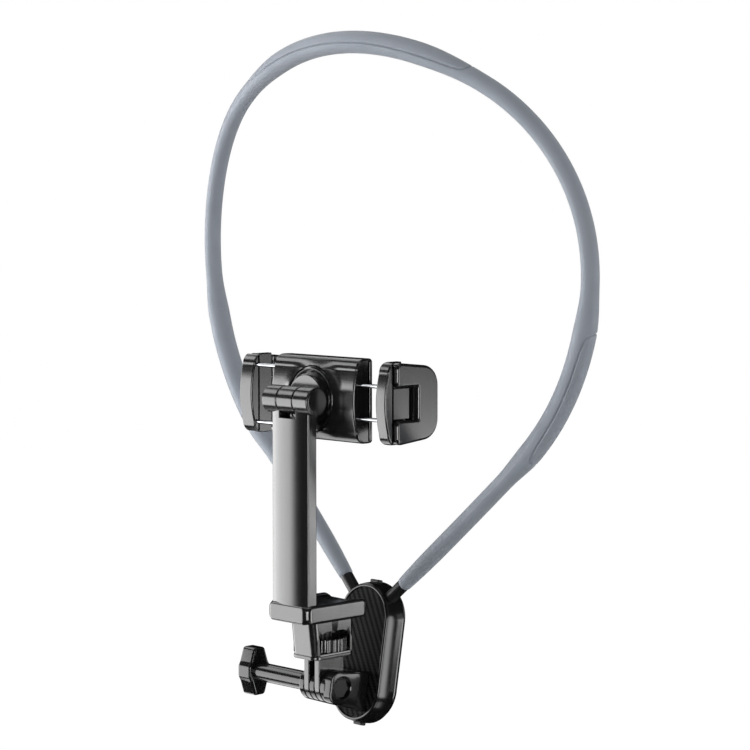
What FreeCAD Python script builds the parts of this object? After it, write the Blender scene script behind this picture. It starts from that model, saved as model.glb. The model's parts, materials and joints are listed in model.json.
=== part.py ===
"""Neck phone holder: a bendable neck loop that carries a pod, a three-prong fork,
an adapter with a thumb wheel, an upright arm and a spring clamp for a phone.

Millimetres, +Z up, the wearer at +Y. The origin is the point inside the top of the
loop that rests on the nape of the neck.
"""
import FreeCAD
import Part
import Sketcher
import math
import os

from FreeCAD import Placement, Rotation, Vector

# Driving sizes: name and value in millimetres or degrees
SIZES = [
    # Neck loop, as its centre line is seen from the front
    ("nape_bend", 135.0),
    ("nape_turn", 31.0),
    ("shoulder_bend", 79.0),
    ("shoulder_turn", 61.4),
    ("side_bend", 103.0),
    ("side_turn", 45.2),
    ("loop_set_back", 25.0),
    ("sleeve_radius", 3.5),
    ("nape_swell", 0.9),
    ("nape_pad_half", 70.0),
    ("collar_swell", 1.1),
    ("collar_pad_half", 46.0),
    ("collar_pad_at", 206.0),
    ("end_taper", 0.65),
    ("end_taper_long", 24.0),
    ("core_radius", 1.3),
    ("core_clearance", 0.1),
    # Pod and ferrules
    ("pod_tall", 57.2),
    ("pod_wide", 29.5),
    ("pod_thick", 11.2),
    ("pod_lean", 9.6),
    ("pod_split", 8.0),
    ("pod_wall", 2.0),
    ("pod_edge", 1.6),
    ("rim_width", 2.4),
    ("plate_recess", 1.2),
    ("plate_thick", 0.9),
    ("plate_clearance", 0.1),
    ("face_skin", 1.4),
    ("ferrule_radius", 2.6),
    ("ferrule_depth", 4.2),
    ("ferrule_shown", 7.4),
    ("ferrule_inside", 6.0),
    ("ferrule_clearance", 0.05),
    ("core_in_ferrule", 6.0),
    # Fork and thumb screw
    ("pin_reach", 17.0),
    ("prong_radius", 6.7),
    ("prong_thick", 2.9),
    ("prong_gap", 3.2),
    ("prong_clearance", 0.15),
    ("prong_root_gap", 0.7),
    ("gusset_drop", 9.4),
    ("boss_half", 6.4),
    ("boss_rear", 9.4),
    ("boss_corner", 4.0),
    ("boss_height", 3.2),
    ("nut_flats", 8.0),
    ("nut_thick", 2.8),
    ("nut_clearance", 0.1),
    ("screw_radius", 2.5),
    ("running_fit", 0.06),
    ("shank_radius", 3.8),
    ("shank_length", 30.5),
    ("collar_radius", 5.2),
    ("collar_thick", 1.8),
    ("knob_thick", 6.5),
    ("knob_core", 5.6),
    ("wing_root", 5.2),
    ("wing_tip", 2.7),
    ("wing_reach", 9.8),
    ("wing_corner", 0.9),
    ("knob_edge", 0.8),
    # Adapter and thumb wheel
    ("adapter_rise", 13.6),
    ("adapter_flange", 1.5),
    ("adapter_tall", 13.7),
    ("adapter_wide", 14.0),
    ("adapter_front", 12.0),
    ("adapter_rear", 11.0),
    ("adapter_taper", 1.8),
    ("adapter_edge", 3.0),
    ("stud_offset", 0.6),
    ("stud_radius", 3.175),
    ("wheel_radius", 9.4),
    ("wheel_tall", 5.4),
    ("wheel_lift", 0.6),
    ("wheel_rib", 0.6),
    ("wheel_play", 0.3),
    ("window_half", 9.0),
    ("arch_rise", 2.6),
    ("arch_run", 4.0),
    # Base plate and arm
    ("base_wide", 24.0),
    ("base_front", 19.4),
    ("base_rear", 14.6),
    ("base_tall", 7.3),
    ("base_corner", 4.0),
    ("base_bevel", 3.4),
    ("stud_bite", 5.0),
    ("arm_wide", 21.0),
    ("arm_back", 2.5),
    ("arm_front", 4.1),
    ("arm_crown", 2.0),
    ("arm_forward", 15.1),
    ("arm_socket", 3.0),
    ("barrel_rise", 79.7),
    ("barrel_radius", 5.5),
    ("barrel_long", 26.0),
    ("knuckle_wide", 8.8),
    ("knuckle_play", 0.3),
    ("notch_extra", 1.0),
    ("tilt_pin_radius", 1.5),
    # Swivel head
    ("disc_forward", 6.0),
    ("web_step", 0.5),
    ("disc_radius", 10.0),
    ("disc_thick", 3.0),
    ("ring_radius", 12.7),
    ("ring_thick", 1.6),
    ("ring_bevel", 0.8),
    ("swivel_gap", 0.3),
    ("spigot_radius", 4.0),
    ("washer_radius", 5.4),
    ("washer_thick", 1.2),
    # Clamp body
    ("body_wide", 48.0),
    ("body_tall", 33.0),
    ("body_thick", 8.6),
    ("body_crown", 1.6),
    ("body_edge", 4.5),
    ("dish_depth", 1.6),
    ("dish_play", 0.6),
    ("dish_floor", 3.2),
    ("pocket_radius", 6.2),
    ("cover_thick", 1.5),
    ("back_pad_wide", 24.0),
    ("back_pad_tall", 27.0),
    ("back_pad_thick", 2.6),
    ("rod_radius", 1.0),
    ("rod_depth", 3.3),
    ("left_rod_edge", 5.0),
    ("right_rod_edge", 10.0),
    ("rod_in_jaw", 2.8),
    ("end_play", 0.2),
    # Jaws and claws
    ("jaw_gap", 11.8),
    ("jaw_wide", 3.2),
    ("jaw_front_wide", 5.6),
    ("jaw_front_deep", 3.9),
    ("jaw_tall", 32.0),
    ("jaw_thick", 11.1),
    ("tongue_tall", 12.0),
    ("tongue_step", 2.0),
    ("notch_room", 1.7),
    ("tongue_play", 0.3),
    ("hinge_in", 1.5),
    ("hinge_back", 2.4),
    ("hinge_radius", 2.1),
    ("hinge_pin_radius", 0.9),
    ("claw_thick", 4.2),
    ("claw_play", 0.3),
    ("claw_forward", 9.1),
    ("claw_back", 13.4),
    ("claw_corner", 8.0),
    ("claw_edge", 0.8),
    ("claw_pad_thick", 3.55),
    ("claw_pad_tall", 29.0),
    ("claw_lip", 1.0),
    ("claw_lip_deep", 1.8),
]
PRONGS = 3
KNOB_WINGS = 2
WHEEL_RIBS = 24
STATION_STEP = 9.0
# How far cutting and joining outlines run past the faces that they meet
PAST = 1.0

doc = FreeCAD.newDocument("NeckPhoneHolder")
sheet = doc.addObject("Spreadsheet::Sheet", "Sizes")
for row, (alias, value) in enumerate(SIZES, start=1):
    sheet.set("A%d" % row, alias)
    sheet.set("B%d" % row, str(value))
    sheet.setAlias("B%d" % row, alias)
doc.recompute()
S = {alias: float(sheet.get(alias)) for alias, value in SIZES}
nodes = []


# Small helpers for the document


def value_of(expression):
    """Value of an expression on the sheet's sizes."""
    result = sheet.evalExpression(expression)
    return float(getattr(result, "Value", result))


def keep(item, label, place=None):
    """Give a finished sub-part its label and place, and list it for export."""
    item.Label = label
    if place is not None:
        item.Placement = place
    nodes.append(item)
    return item


def new_body(name):
    return doc.addObject("PartDesign::Body", name)


def new_sketch(body, name, role, offset=0.0):
    """Sketch on one of the body's own origin planes, moved along the plane's normal."""
    plane = [f for f in body.Origin.OriginFeatures if f.Role == role][0]
    sketch = body.newObject("Sketcher::SketchObject", name)
    sketch.AttachmentSupport = [(plane, "")]
    sketch.MapMode = "FlatFace"
    sketch.AttachmentOffset = Placement(Vector(0, 0, offset), Rotation())
    return sketch


def add_circle(sketch, x, y, radius):
    """Circle whose radius is an expression on the sheet."""
    size = value_of(radius)
    item = sketch.addGeometry(Part.Circle(Vector(x, y, 0), Vector(0, 0, 1), size))
    rule = sketch.addConstraint(Sketcher.Constraint("Radius", item, size))
    sketch.setExpression("Constraints[%d]" % rule, radius)
    return item


def add_outline(sketch, points):
    """Closed outline of lines and arcs, from the last entry round to the last entry.

    Each entry is (x, y) for a line to that point, or (mx, my, x, y) for an arc
    through (mx, my) to (x, y). An entry that repeats the point before is skipped.
    """
    last = points[-1][-2:]
    for entry in points:
        start = Vector(last[0], last[1], 0)
        end = Vector(entry[-2], entry[-1], 0)
        if start.isEqual(end, 1e-7):
            continue
        if len(entry) == 4:
            middle = Vector(entry[0], entry[1], 0)
            sketch.addGeometry(Part.Arc(start, middle, end))
        else:
            sketch.addGeometry(Part.LineSegment(start, end))
        last = entry[-2:]


def rectangle(x0, y0, x1, y1):
    return [(x0, y0), (x1, y0), (x1, y1), (x0, y1)]


def rounded(x0, y0, x1, y1, r):
    """Rectangle with four round corners."""
    k = r * (1 - math.sqrt(0.5))
    return [
        (x0 + r, y0), (x1 - r, y0), (x1 - k, y0 + k, x1, y0 + r),
        (x1, y1 - r), (x1 - k, y1 - k, x1 - r, y1),
        (x0 + r, y1), (x0 + k, y1 - k, x0, y1 - r),
        (x0, y0 + r), (x0 + k, y0 + k, x0 + r, y0),
    ]


def stadium(wide, tall):
    """Upright slot outline, centred on the origin."""
    r = wide / 2
    z = tall / 2 - r
    return [(r, -z), (r, z), (0, z + r, -r, z), (-r, -z), (0, -z - r, r, -z)]


def extrude(body, sketch, kind, length, both=False, back=False):
    """Pad or Pocket of a sketch by an expression on the sheet."""
    feature = body.newObject("PartDesign::" + kind, kind)
    feature.Profile = sketch
    feature.setExpression("Length", length)
    feature.Midplane = both
    feature.Reversed = back
    sketch.Visibility = False
    doc.recompute()
    return feature


def pad(body, name, role, outline, length, offset=0.0, both=False, back=False):
    sketch = new_sketch(body, name, role, offset)
    add_outline(sketch, outline)
    return extrude(body, sketch, "Pad", length, both, back)


def pocket(body, name, role, outline, length, offset=0.0, both=False, back=False):
    """Pocket that must take material away."""
    before = body.Shape.Volume
    sketch = new_sketch(body, name, role, offset)
    add_outline(sketch, outline)
    feature = extrude(body, sketch, "Pocket", length, both, back)
    check_cut(name, before, body)
    return feature


def round_pad(body, name, role, x, y, radius, length, offset=0.0, both=False, back=False):
    sketch = new_sketch(body, name, role, offset)
    add_circle(sketch, x, y, radius)
    return extrude(body, sketch, "Pad", length, both, back)


def round_pocket(body, name, role, x, y, radius, length, offset=0.0, both=False, back=False):
    before = body.Shape.Volume
    sketch = new_sketch(body, name, role, offset)
    add_circle(sketch, x, y, radius)
    feature = extrude(body, sketch, "Pocket", length, both, back)
    check_cut(name, before, body)
    return feature


def check_cut(name, before, body):
    if body.Shape.Volume > before - 1e-6:
        raise RuntimeError(name + " cut nothing")


def dress(body, kind, size, wanted):
    """Fillet or Chamfer on the edges of the tip that pass a test."""
    base = body.Tip
    picked = ["Edge%d" % (i + 1) for i, edge in enumerate(base.Shape.Edges) if wanted(edge)]
    feature = body.newObject("PartDesign::" + kind, kind)
    feature.Base = (base, picked)
    feature.setExpression("Radius" if kind == "Fillet" else "Size", size)
    doc.recompute()
    return feature


def on_plane(axis, at):
    """Test for edges that lie wholly at one coordinate, such as y = 0."""
    def test(edge):
        box = edge.BoundBox
        low = getattr(box, axis + "Min")
        high = getattr(box, axis + "Max")
        return abs(low - at) < 1e-4 and abs(high - at) < 1e-4
    return test


def polar(body, feature, sketch_axis, count):
    """Repeat a feature round an axis of its sketch."""
    pattern = body.newObject("PartDesign::PolarPattern", "PolarPattern")
    pattern.Originals = [feature]
    pattern.Axis = sketch_axis
    pattern.Angle = 360
    pattern.Occurrences = count
    body.Tip = pattern
    doc.recompute()
    return pattern


def mirrored(item, label):
    """Copy of a finished sub-part on the other side of the middle plane."""
    copy = doc.addObject("Part::Mirroring", label)
    copy.Source = item
    copy.Normal = Vector(1, 0, 0)
    copy.Base = Vector(0, 0, 0)
    return keep(copy, label)


def rod(name, radius, length, at, axis):
    """Part cylinder along an axis from a point; sizes are expressions."""
    item = doc.addObject("Part::Cylinder", name)
    item.setExpression("Radius", radius)
    item.setExpression("Height", length)
    item.Placement = Placement(at, Rotation(Vector(0, 0, 1), axis))
    return item


def cut(name, base, tools):
    """Boolean cut of one solid by others."""
    for index, tool in enumerate(tools):
        feature = doc.addObject("Part::Cut", "%s_cut_%d" % (name, index))
        feature.Base = base
        feature.Tool = tool
        base = feature
    doc.recompute()
    return base


# Centre line of the neck loop

TOP_RADIUS = S["sleeve_radius"] + S["nape_swell"]
BENDS = [
    (S["nape_bend"], S["nape_turn"]),
    (S["shoulder_bend"], S["shoulder_turn"]),
    (S["side_bend"], S["side_turn"]),
]
END_HEADING = math.radians(sum(turn for bend, turn in BENDS))
LEAN = math.radians(S["pod_lean"])
POD_END = S["pod_wide"] / 2
POD_END_AT = (S["pod_tall"] - S["pod_wide"]) / 2

# Ferrule direction in the pod's own plane
FERRULE_DX = -math.cos(END_HEADING)
FERRULE_DZ = math.sin(END_HEADING) / math.cos(LEAN)
FERRULE_SPAN = math.hypot(FERRULE_DX, FERRULE_DZ)
FERRULE = Vector(FERRULE_DX / FERRULE_SPAN, 0, FERRULE_DZ / FERRULE_SPAN)
FERRULE_END = Vector(0, S["ferrule_depth"], POD_END_AT) + FERRULE * (POD_END + S["ferrule_shown"])


def front_line():
    """Runs of the right half as seen from the front: start x, z, heading, bend, length."""
    x, z, heading = 0.0, TOP_RADIUS, 0.0
    runs = []
    for bend, turn in BENDS:
        angle = math.radians(turn)
        runs.append((x, z, heading, bend, bend * angle))
        x += bend * (math.sin(heading + angle) - math.sin(heading))
        z -= bend * (math.cos(heading) - math.cos(heading + angle))
        heading += angle
    straight = (x - FERRULE_END.x) / -math.cos(heading)
    runs.append((x, z, heading, None, straight))
    return runs


RUNS = front_line()
HALF_LENGTH = sum(run[4] for run in RUNS)


def front_point(distance):
    """Point x, z on the right half at a distance from the nape."""
    for x, z, heading, bend, length in RUNS:
        if distance <= length or bend is None:
            break
        distance -= length
    if bend is None:
        return x + distance * math.cos(heading), z - distance * math.sin(heading)
    angle = heading + distance / bend
    return x + bend * (math.sin(angle) - math.sin(heading)), z - bend * (math.cos(heading) - math.cos(angle))


END_Z = front_point(HALF_LENGTH)[1]
# Height where the loop lies furthest back, midway between the shoulder and side bends' ends
SET_BACK_Z = (RUNS[2][1] + RUNS[3][1]) / 2
LOW_POWER = 2.0
TOP_POWER = 3.0
LOW_BOW = math.tan(LEAN) * (SET_BACK_Z - END_Z) / LOW_POWER


def bow(z):
    """How far back the loop lies at a height: a smooth arch from the nape to the pod."""
    if z > SET_BACK_Z:
        share = (z - SET_BACK_Z) / (TOP_RADIUS - SET_BACK_Z)
        return S["loop_set_back"] * (1 - share ** TOP_POWER)
    share = (SET_BACK_Z - z) / (SET_BACK_Z - END_Z)
    return S["loop_set_back"] - LOW_BOW * share ** LOW_POWER


def loop_point(distance):
    """Point on the whole loop; a negative distance is on the left half."""
    x, z = front_point(min(abs(distance), HALF_LENGTH))
    point = Vector(math.copysign(x, distance), bow(z), z)
    past = abs(distance) - HALF_LENGTH
    if past > 0:
        aim = Vector(math.copysign(1, distance) * math.cos(END_HEADING),
                     -math.sin(END_HEADING) * math.tan(LEAN), -math.sin(END_HEADING))
        point += aim.normalize() * past
    return point


def loop_tangent(distance, step=0.05):
    return (loop_point(distance + step) - loop_point(distance - step)).normalize()


def bump(distance, at, half):
    """Smooth swelling from 0 to 1 round a place on the loop."""
    share = abs(abs(distance) - at) / half
    if share >= 1:
        return 0.0
    return 0.5 + 0.5 * math.cos(math.pi * max(0.0, (share - 0.55) / 0.45))


def loop_loft(name, half, radius):
    """Loft of round sections along the loop; radius is an expression of a distance."""
    count = 2 * int(round(half / STATION_STEP))
    sections = []
    for index in range(count + 1):
        distance = half * (2.0 * index / count - 1)
        ring = doc.addObject("Part::Circle", "%s_section_%d" % (name, index))
        ring.setExpression("Radius", radius(distance))
        aim = loop_tangent(distance)
        turn = Rotation(Vector(0, 1, 0), aim.cross(Vector(0, 1, 0)), aim, "ZXY")
        ring.Placement = Placement(loop_point(distance), turn)
        sections.append(ring)
    loft = doc.addObject("Part::Loft", name)
    loft.Sections = sections
    loft.Solid = True
    loft.Ruled = True
    doc.recompute()
    return loft


def sleeve_radius(distance):
    nape = bump(distance, 0.0, S["nape_pad_half"])
    collar = bump(distance, S["collar_pad_at"], S["collar_pad_half"])
    share = max(0.0, 1 - (HALF_LENGTH - abs(distance)) / S["end_taper_long"])
    swell = "%.4f * Sizes.nape_swell + %.4f * Sizes.collar_swell" % (nape, collar)
    return "Sizes.sleeve_radius + %s - %.4f * Sizes.end_taper" % (swell, share ** 2)


# The loop: a soft sleeve over a bendable core


def is_flat(face):
    return face.Surface.TypeId == "Part::GeomPlane"


def tube_between(outer, inner):
    """Solid between two lofts with the same ends: both skins and a ring at each end."""
    skins = [face for loft in (outer, inner) for face in loft.Faces if not is_flat(face)]
    rings = []
    for lid in filter(is_flat, outer.Faces):
        nearest = min(filter(is_flat, inner.Faces),
                      key=lambda face: face.CenterOfMass.distanceToPoint(lid.CenterOfMass))
        rings += lid.cut(nearest).Faces
    return Part.Solid(Part.Shell(skins + rings))


def build_loop():
    outer = loop_loft("sleeve", HALF_LENGTH, sleeve_radius)
    bore = loop_loft("bore", HALF_LENGTH, lambda d: "Sizes.core_radius + Sizes.core_clearance")
    sleeve = doc.addObject("Part::Feature", "sleeve_tube")
    sleeve.Shape = tube_between(outer.Shape, bore.Shape)
    keep(sleeve, "neck_sleeve")
    core = loop_loft("core", HALF_LENGTH + S["core_in_ferrule"], lambda d: "Sizes.core_radius")
    keep(core, "neck_core")


# The pod hangs at the loop's ends, its face leaning back with the ferrules in its plane

POD_TURN = Rotation(Vector(1, 0, 0), -S["pod_lean"])
POD_AT = loop_point(HALF_LENGTH) - POD_TURN.multVec(FERRULE_END)
POD = Placement(POD_AT, POD_TURN)
PLATE_FRONT = S["plate_recess"] - S["plate_thick"]


def ferrule_rods(name, radius, start, length):
    """Cylinder along each ferrule's axis, left and right, in the pod's frame."""
    base = Vector(0, S["ferrule_depth"], POD_END_AT)
    made = []
    for side in (-1, 1):
        aim = Vector(side * FERRULE.x, 0, FERRULE.z)
        made.append(rod("%s_%d" % (name, side + 1), radius, length, base + aim * start, aim))
    return made


def build_pod():
    front = new_body("front_shell")
    outline = stadium(S["pod_wide"], S["pod_tall"])
    pad(front, "front_outline", "XZ_Plane", outline, "Sizes.pod_split", back=True)
    dress(front, "Fillet", "Sizes.pod_edge", on_plane("Y", 0))
    inset = 2 * S["rim_width"]
    recess = stadium(S["pod_wide"] - inset, S["pod_tall"] - inset)
    pocket(front, "face_recess", "XZ_Plane", recess, "Sizes.plate_recess", back=False)
    walls = 2 * S["pod_wall"]
    hollow = stadium(S["pod_wide"] - walls, S["pod_tall"] - walls)
    floor = "Sizes.pod_split - Sizes.plate_recess - Sizes.face_skin"
    pocket(front, "front_hollow", "XZ_Plane", hollow, floor, offset=-S["pod_split"], back=True)
    hole = "Sizes.ferrule_radius + Sizes.ferrule_clearance"
    holes = ferrule_rods("ferrule_hole", hole, POD_END - S["ferrule_inside"], "2 * Sizes.ferrule_inside")
    keep(cut("pod_front_shell", front, holes), "pod_front_shell", POD)

    rear = new_body("rear_shell")
    pad(rear, "rear_outline", "XZ_Plane", outline, "Sizes.pod_thick - Sizes.pod_split",
        offset=-S["pod_split"], back=True)
    dress(rear, "Fillet", "Sizes.pod_edge", on_plane("Y", S["pod_thick"]))
    pocket(rear, "rear_hollow", "XZ_Plane", hollow, "Sizes.pod_thick - Sizes.pod_split - Sizes.face_skin",
           offset=-S["pod_split"], back=False)
    keep(rear, "pod_rear_shell", POD)

    plate = new_body("plate")
    inset += 2 * S["plate_clearance"]
    face = stadium(S["pod_wide"] - inset, S["pod_tall"] - inset)
    pad(plate, "plate_outline", "XZ_Plane", face, "Sizes.plate_thick", offset=-PLATE_FRONT, back=True)
    keep(plate, "face_plate", POD)

    sleeves = ferrule_rods("ferrule", "Sizes.ferrule_radius", POD_END - S["ferrule_inside"],
                           "Sizes.ferrule_inside + Sizes.ferrule_shown")
    deep = POD_END + S["ferrule_shown"] - S["core_in_ferrule"] - S["end_play"]
    bores = ferrule_rods("ferrule_bore", "Sizes.core_radius + Sizes.core_clearance", deep,
                         "2 * Sizes.core_in_ferrule")
    for tube, bore, label in zip(sleeves, bores, ("ferrule_left", "ferrule_right")):
        keep(cut(label, tube, [bore]), label, POD)


# Fork on the pod's face, with a nut held in its right cheek


FORK_WIDE = PRONGS * S["prong_thick"] + (PRONGS - 1) * S["prong_gap"]
PIN_Y = -S["pin_reach"]
PIN_Z = -POD_END_AT
PIN = POD.multVec(Vector(0, PIN_Y, PIN_Z))


def build_fork():
    r = S["prong_radius"]
    fork = new_body("fork_body")
    run = PLATE_FRONT - PIN_Y
    drop = S["gusset_drop"]
    touch = math.atan2(-drop, run) - math.acos(r / math.hypot(run, drop))
    cheek = [
        (PLATE_FRONT, PIN_Z - drop), (PLATE_FRONT, PIN_Z + r), (PIN_Y, PIN_Z + r),
        (PIN_Y - r, PIN_Z, PIN_Y + r * math.cos(touch), PIN_Z + r * math.sin(touch)),
    ]
    wide = "%d * Sizes.prong_thick + %d * Sizes.prong_gap" % (PRONGS, PRONGS - 1)
    pad(fork, "cheek", "YZ_Plane", cheek, wide, both=True)
    step = S["prong_thick"] + S["prong_gap"]
    for side in (-1, 1):
        middle = side * step / 2
        slot = rectangle(middle - S["prong_gap"] / 2, PIN_Y - 2 * r,
                         middle + S["prong_gap"] / 2, PIN_Y + r + S["prong_root_gap"])
        pocket(fork, "slot_%d" % (side + 1), "XY_Plane", slot, "4 * Sizes.prong_radius",
               offset=PIN_Z, both=True)
    b = S["boss_half"]
    boss = rounded(PIN_Y - b, PIN_Z - b, PIN_Y + S["boss_rear"], PIN_Z + b, S["boss_corner"])
    pad(fork, "nut_boss", "YZ_Plane", boss, "Sizes.boss_height", offset=FORK_WIDE / 2)
    round_pocket(fork, "screw_way", "YZ_Plane", PIN_Y, PIN_Z, "Sizes.screw_radius + Sizes.running_fit",
                 "4 * Sizes.shank_length", both=True)
    pocket(fork, "nut_seat", "YZ_Plane", hexagon(S["nut_flats"] + 2 * S["nut_clearance"]),
           "Sizes.nut_thick + Sizes.nut_clearance", offset=FORK_WIDE / 2 + S["boss_height"])
    keep(fork, "fork", POD)

    nut = new_body("nut_body")
    inner = FORK_WIDE / 2 + S["boss_height"] - S["nut_thick"]
    pad(nut, "nut_outline", "YZ_Plane", hexagon(S["nut_flats"]), "Sizes.nut_thick", offset=inner)
    round_pocket(nut, "nut_bore", "YZ_Plane", PIN_Y, PIN_Z, "Sizes.screw_radius + Sizes.running_fit",
                 "4 * Sizes.shank_length", both=True)
    keep(nut, "fork_nut", POD)


def hexagon(flats):
    """Hexagon round the pin, in the pod's frame."""
    r = flats / math.sqrt(3)
    corners = [math.radians(60 * k) for k in range(6)]
    return [(PIN_Y + r * math.cos(a), PIN_Z + r * math.sin(a)) for a in corners]


def build_screw():
    """Screw turned on one axis, and a winged knob moulded on its left end."""
    left = -FORK_WIDE / 2 - S["prong_clearance"]
    shank = left - S["shank_length"]
    tail = FORK_WIDE / 2 + S["boss_height"]
    stub = shank - S["knob_thick"] / 2
    screw = new_body("screw_body")
    sketch = new_sketch(screw, "screw_half", "XY_Plane")
    add_outline(sketch, [
        (stub, 0), (tail, 0), (tail, S["screw_radius"]), (left, S["screw_radius"]),
        (left, S["collar_radius"]), (left - S["collar_thick"], S["collar_radius"]),
        (left - S["collar_thick"], S["shank_radius"]), (shank, S["shank_radius"]),
        (shank, S["screw_radius"]), (stub, S["screw_radius"]),
    ])
    turned = screw.newObject("PartDesign::Revolution", "turned")
    turned.Profile = sketch
    turned.ReferenceAxis = (sketch, ["H_Axis"])
    turned.Angle = 360
    doc.recompute()
    keep(screw, "thumb_screw", Placement(PIN, Rotation()))

    knob = new_body("knob_body")
    start = shank - S["knob_thick"]
    round_pad(knob, "knob_core", "YZ_Plane", 0, 0, "Sizes.knob_core", "Sizes.knob_thick", offset=start)
    root = S["wing_root"]
    tip = S["wing_tip"]
    reach = S["wing_reach"]
    corner = S["wing_corner"]
    wing_sketch = new_sketch(knob, "wing", "YZ_Plane", start)
    add_outline(wing_sketch, [
        (-root, 0), (root, 0), (tip, reach - corner), (tip - corner, reach),
        (corner - tip, reach), (-tip, reach - corner),
    ])
    wing = extrude(knob, wing_sketch, "Pad", "Sizes.knob_thick")
    polar(knob, wing, (wing_sketch, ["N_Axis"]), KNOB_WINGS)
    dress(knob, "Chamfer", "Sizes.knob_edge", on_plane("X", start))
    round_pocket(knob, "knob_bore", "YZ_Plane", 0, 0, "Sizes.screw_radius + Sizes.running_fit",
                 "Sizes.knob_thick / 2", offset=shank)
    keep(knob, "thumb_knob", Placement(PIN, Rotation()))


# Adapter: two prongs below, a thumb wheel in a window above

STUD_Y = -S["stud_offset"]
BLOCK_Z = S["adapter_rise"]
BLOCK_TOP = BLOCK_Z + S["adapter_tall"]
WHEEL_Z = BLOCK_Z + S["wheel_lift"]
AT_PIN = Placement(PIN, Rotation())


def build_adapter():
    r = S["prong_radius"]
    inner = S["prong_thick"] / 2 + S["prong_clearance"]
    body = new_body("adapter_body")
    tongue = [(r, 0), (r, BLOCK_Z), (-r, BLOCK_Z), (-r, 0), (0, -r, r, 0)]
    pad(body, "tongues", "YZ_Plane", tongue,
        "Sizes.prong_thick + 2 * Sizes.prong_gap - 2 * Sizes.prong_clearance", both=True)
    block = [
        (STUD_Y - S["adapter_front"] + S["adapter_taper"], BLOCK_Z - S["adapter_flange"]),
        (STUD_Y + S["adapter_rear"], BLOCK_Z - S["adapter_flange"]),
        (STUD_Y + S["adapter_rear"], BLOCK_TOP),
        (STUD_Y - S["adapter_front"], BLOCK_TOP),
    ]
    pad(body, "block", "YZ_Plane", block, "Sizes.adapter_wide", both=True)
    dress(body, "Fillet", "Sizes.adapter_edge",
          lambda edge: edge.BoundBox.ZMin > r and edge.BoundBox.ZLength > S["adapter_tall"])
    split = rectangle(-inner, -2 * r, inner, r + S["prong_root_gap"])
    pocket(body, "split", "XZ_Plane", split, "6 * Sizes.prong_radius", both=True)
    round_pocket(body, "screw_way", "YZ_Plane", 0, 0, "Sizes.screw_radius + Sizes.running_fit",
                 "2 * Sizes.adapter_wide", both=True)
    play = S["wheel_play"]
    low = WHEEL_Z - play
    high = WHEEL_Z + S["wheel_tall"] + play
    half = S["window_half"]
    run = half - S["arch_run"]
    crest = high + S["arch_rise"]
    window = [
        (STUD_Y - half, low), (STUD_Y + half, low), (STUD_Y + half, high),
        (STUD_Y + run, crest), (STUD_Y - run, crest), (STUD_Y - half, high),
    ]
    pocket(body, "window", "YZ_Plane", window, "2 * Sizes.adapter_wide", both=True)
    round_pocket(body, "wheel_room", "XY_Plane", 0, STUD_Y, "Sizes.wheel_radius + Sizes.wheel_play",
                 "Sizes.wheel_tall + 2 * Sizes.wheel_play", offset=high)
    round_pocket(body, "stud_way", "XY_Plane", 0, STUD_Y, "Sizes.stud_radius + Sizes.running_fit",
                 "Sizes.adapter_tall", offset=BLOCK_TOP)
    keep(body, "adapter", AT_PIN)


def build_wheel():
    body = new_body("wheel_body")
    round_pad(body, "hub", "XY_Plane", 0, STUD_Y, "Sizes.wheel_radius - Sizes.wheel_rib", "Sizes.wheel_tall",
              offset=WHEEL_Z)
    root = S["wheel_radius"] - 2 * S["wheel_rib"]
    half = math.pi * S["wheel_radius"] / WHEEL_RIBS / 2
    tip = half / 2
    rib_sketch = new_sketch(body, "rib", "XY_Plane", WHEEL_Z)
    rib_sketch.AttachmentOffset = Placement(Vector(0, STUD_Y, WHEEL_Z), Rotation())
    reach = math.sqrt(S["wheel_radius"] ** 2 - tip ** 2)
    add_outline(rib_sketch, [(root, -half), (reach, -tip), (reach, tip), (root, half)])
    rib = extrude(body, rib_sketch, "Pad", "Sizes.wheel_tall")
    polar(body, rib, (rib_sketch, ["N_Axis"]), WHEEL_RIBS)
    round_pocket(body, "bore", "XY_Plane", 0, STUD_Y, "Sizes.stud_radius + Sizes.running_fit",
                 "2 * Sizes.wheel_tall", offset=WHEEL_Z + S["wheel_tall"])
    keep(body, "thumb_wheel", AT_PIN)

    length = "Sizes.adapter_tall - Sizes.wheel_lift + Sizes.stud_bite - Sizes.wheel_play"
    stud = rod("stud", "Sizes.stud_radius", length, Vector(0, STUD_Y, WHEEL_Z), Vector(0, 0, 1))
    keep(stud, "lock_stud", Placement(PIN + Vector(0, STUD_Y, WHEEL_Z), Rotation()))


# Base plate and arm stand on the stud's axis

STAND = PIN + Vector(0, STUD_Y, BLOCK_TOP)
AT_STAND = Placement(STAND, Rotation())
ARM_Y = -S["arm_forward"]
ARM_FOOT = S["base_tall"] - S["arm_socket"]
BARREL_Z = S["base_tall"] + S["barrel_rise"]


def arm_section():
    """Plan of the arm: a flat back and a crowned front."""
    half = S["arm_wide"] / 2
    back = ARM_Y + S["arm_back"]
    crown = ARM_Y - S["arm_front"]
    edge = crown + S["arm_crown"]
    return [(half, edge), (half, back), (-half, back), (-half, edge), (0, crown, half, edge)]


def build_base():
    body = new_body("base_body")
    half = S["base_wide"] / 2
    plan = rounded(-half, -S["base_front"], half, S["base_rear"], S["base_corner"])
    pad(body, "plan", "XY_Plane", plan, "Sizes.base_tall")
    rear = S["base_rear"]
    top = S["base_tall"]
    bevel = S["base_bevel"]
    wedge = [(rear + PAST, top + PAST), (rear - bevel, top + PAST), (rear - bevel, top),
             (rear, top - bevel), (rear + PAST, top - bevel)]
    pocket(body, "rear_bevel", "YZ_Plane", wedge, "2 * Sizes.base_wide", both=True)
    pocket(body, "arm_socket", "XY_Plane", arm_section(), "Sizes.arm_socket", offset=top)
    round_pocket(body, "stud_hole", "XY_Plane", 0, 0, "Sizes.stud_radius + Sizes.running_fit",
                 "Sizes.stud_bite + Sizes.wheel_play", back=True)
    keep(body, "base_plate", AT_STAND)


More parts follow.
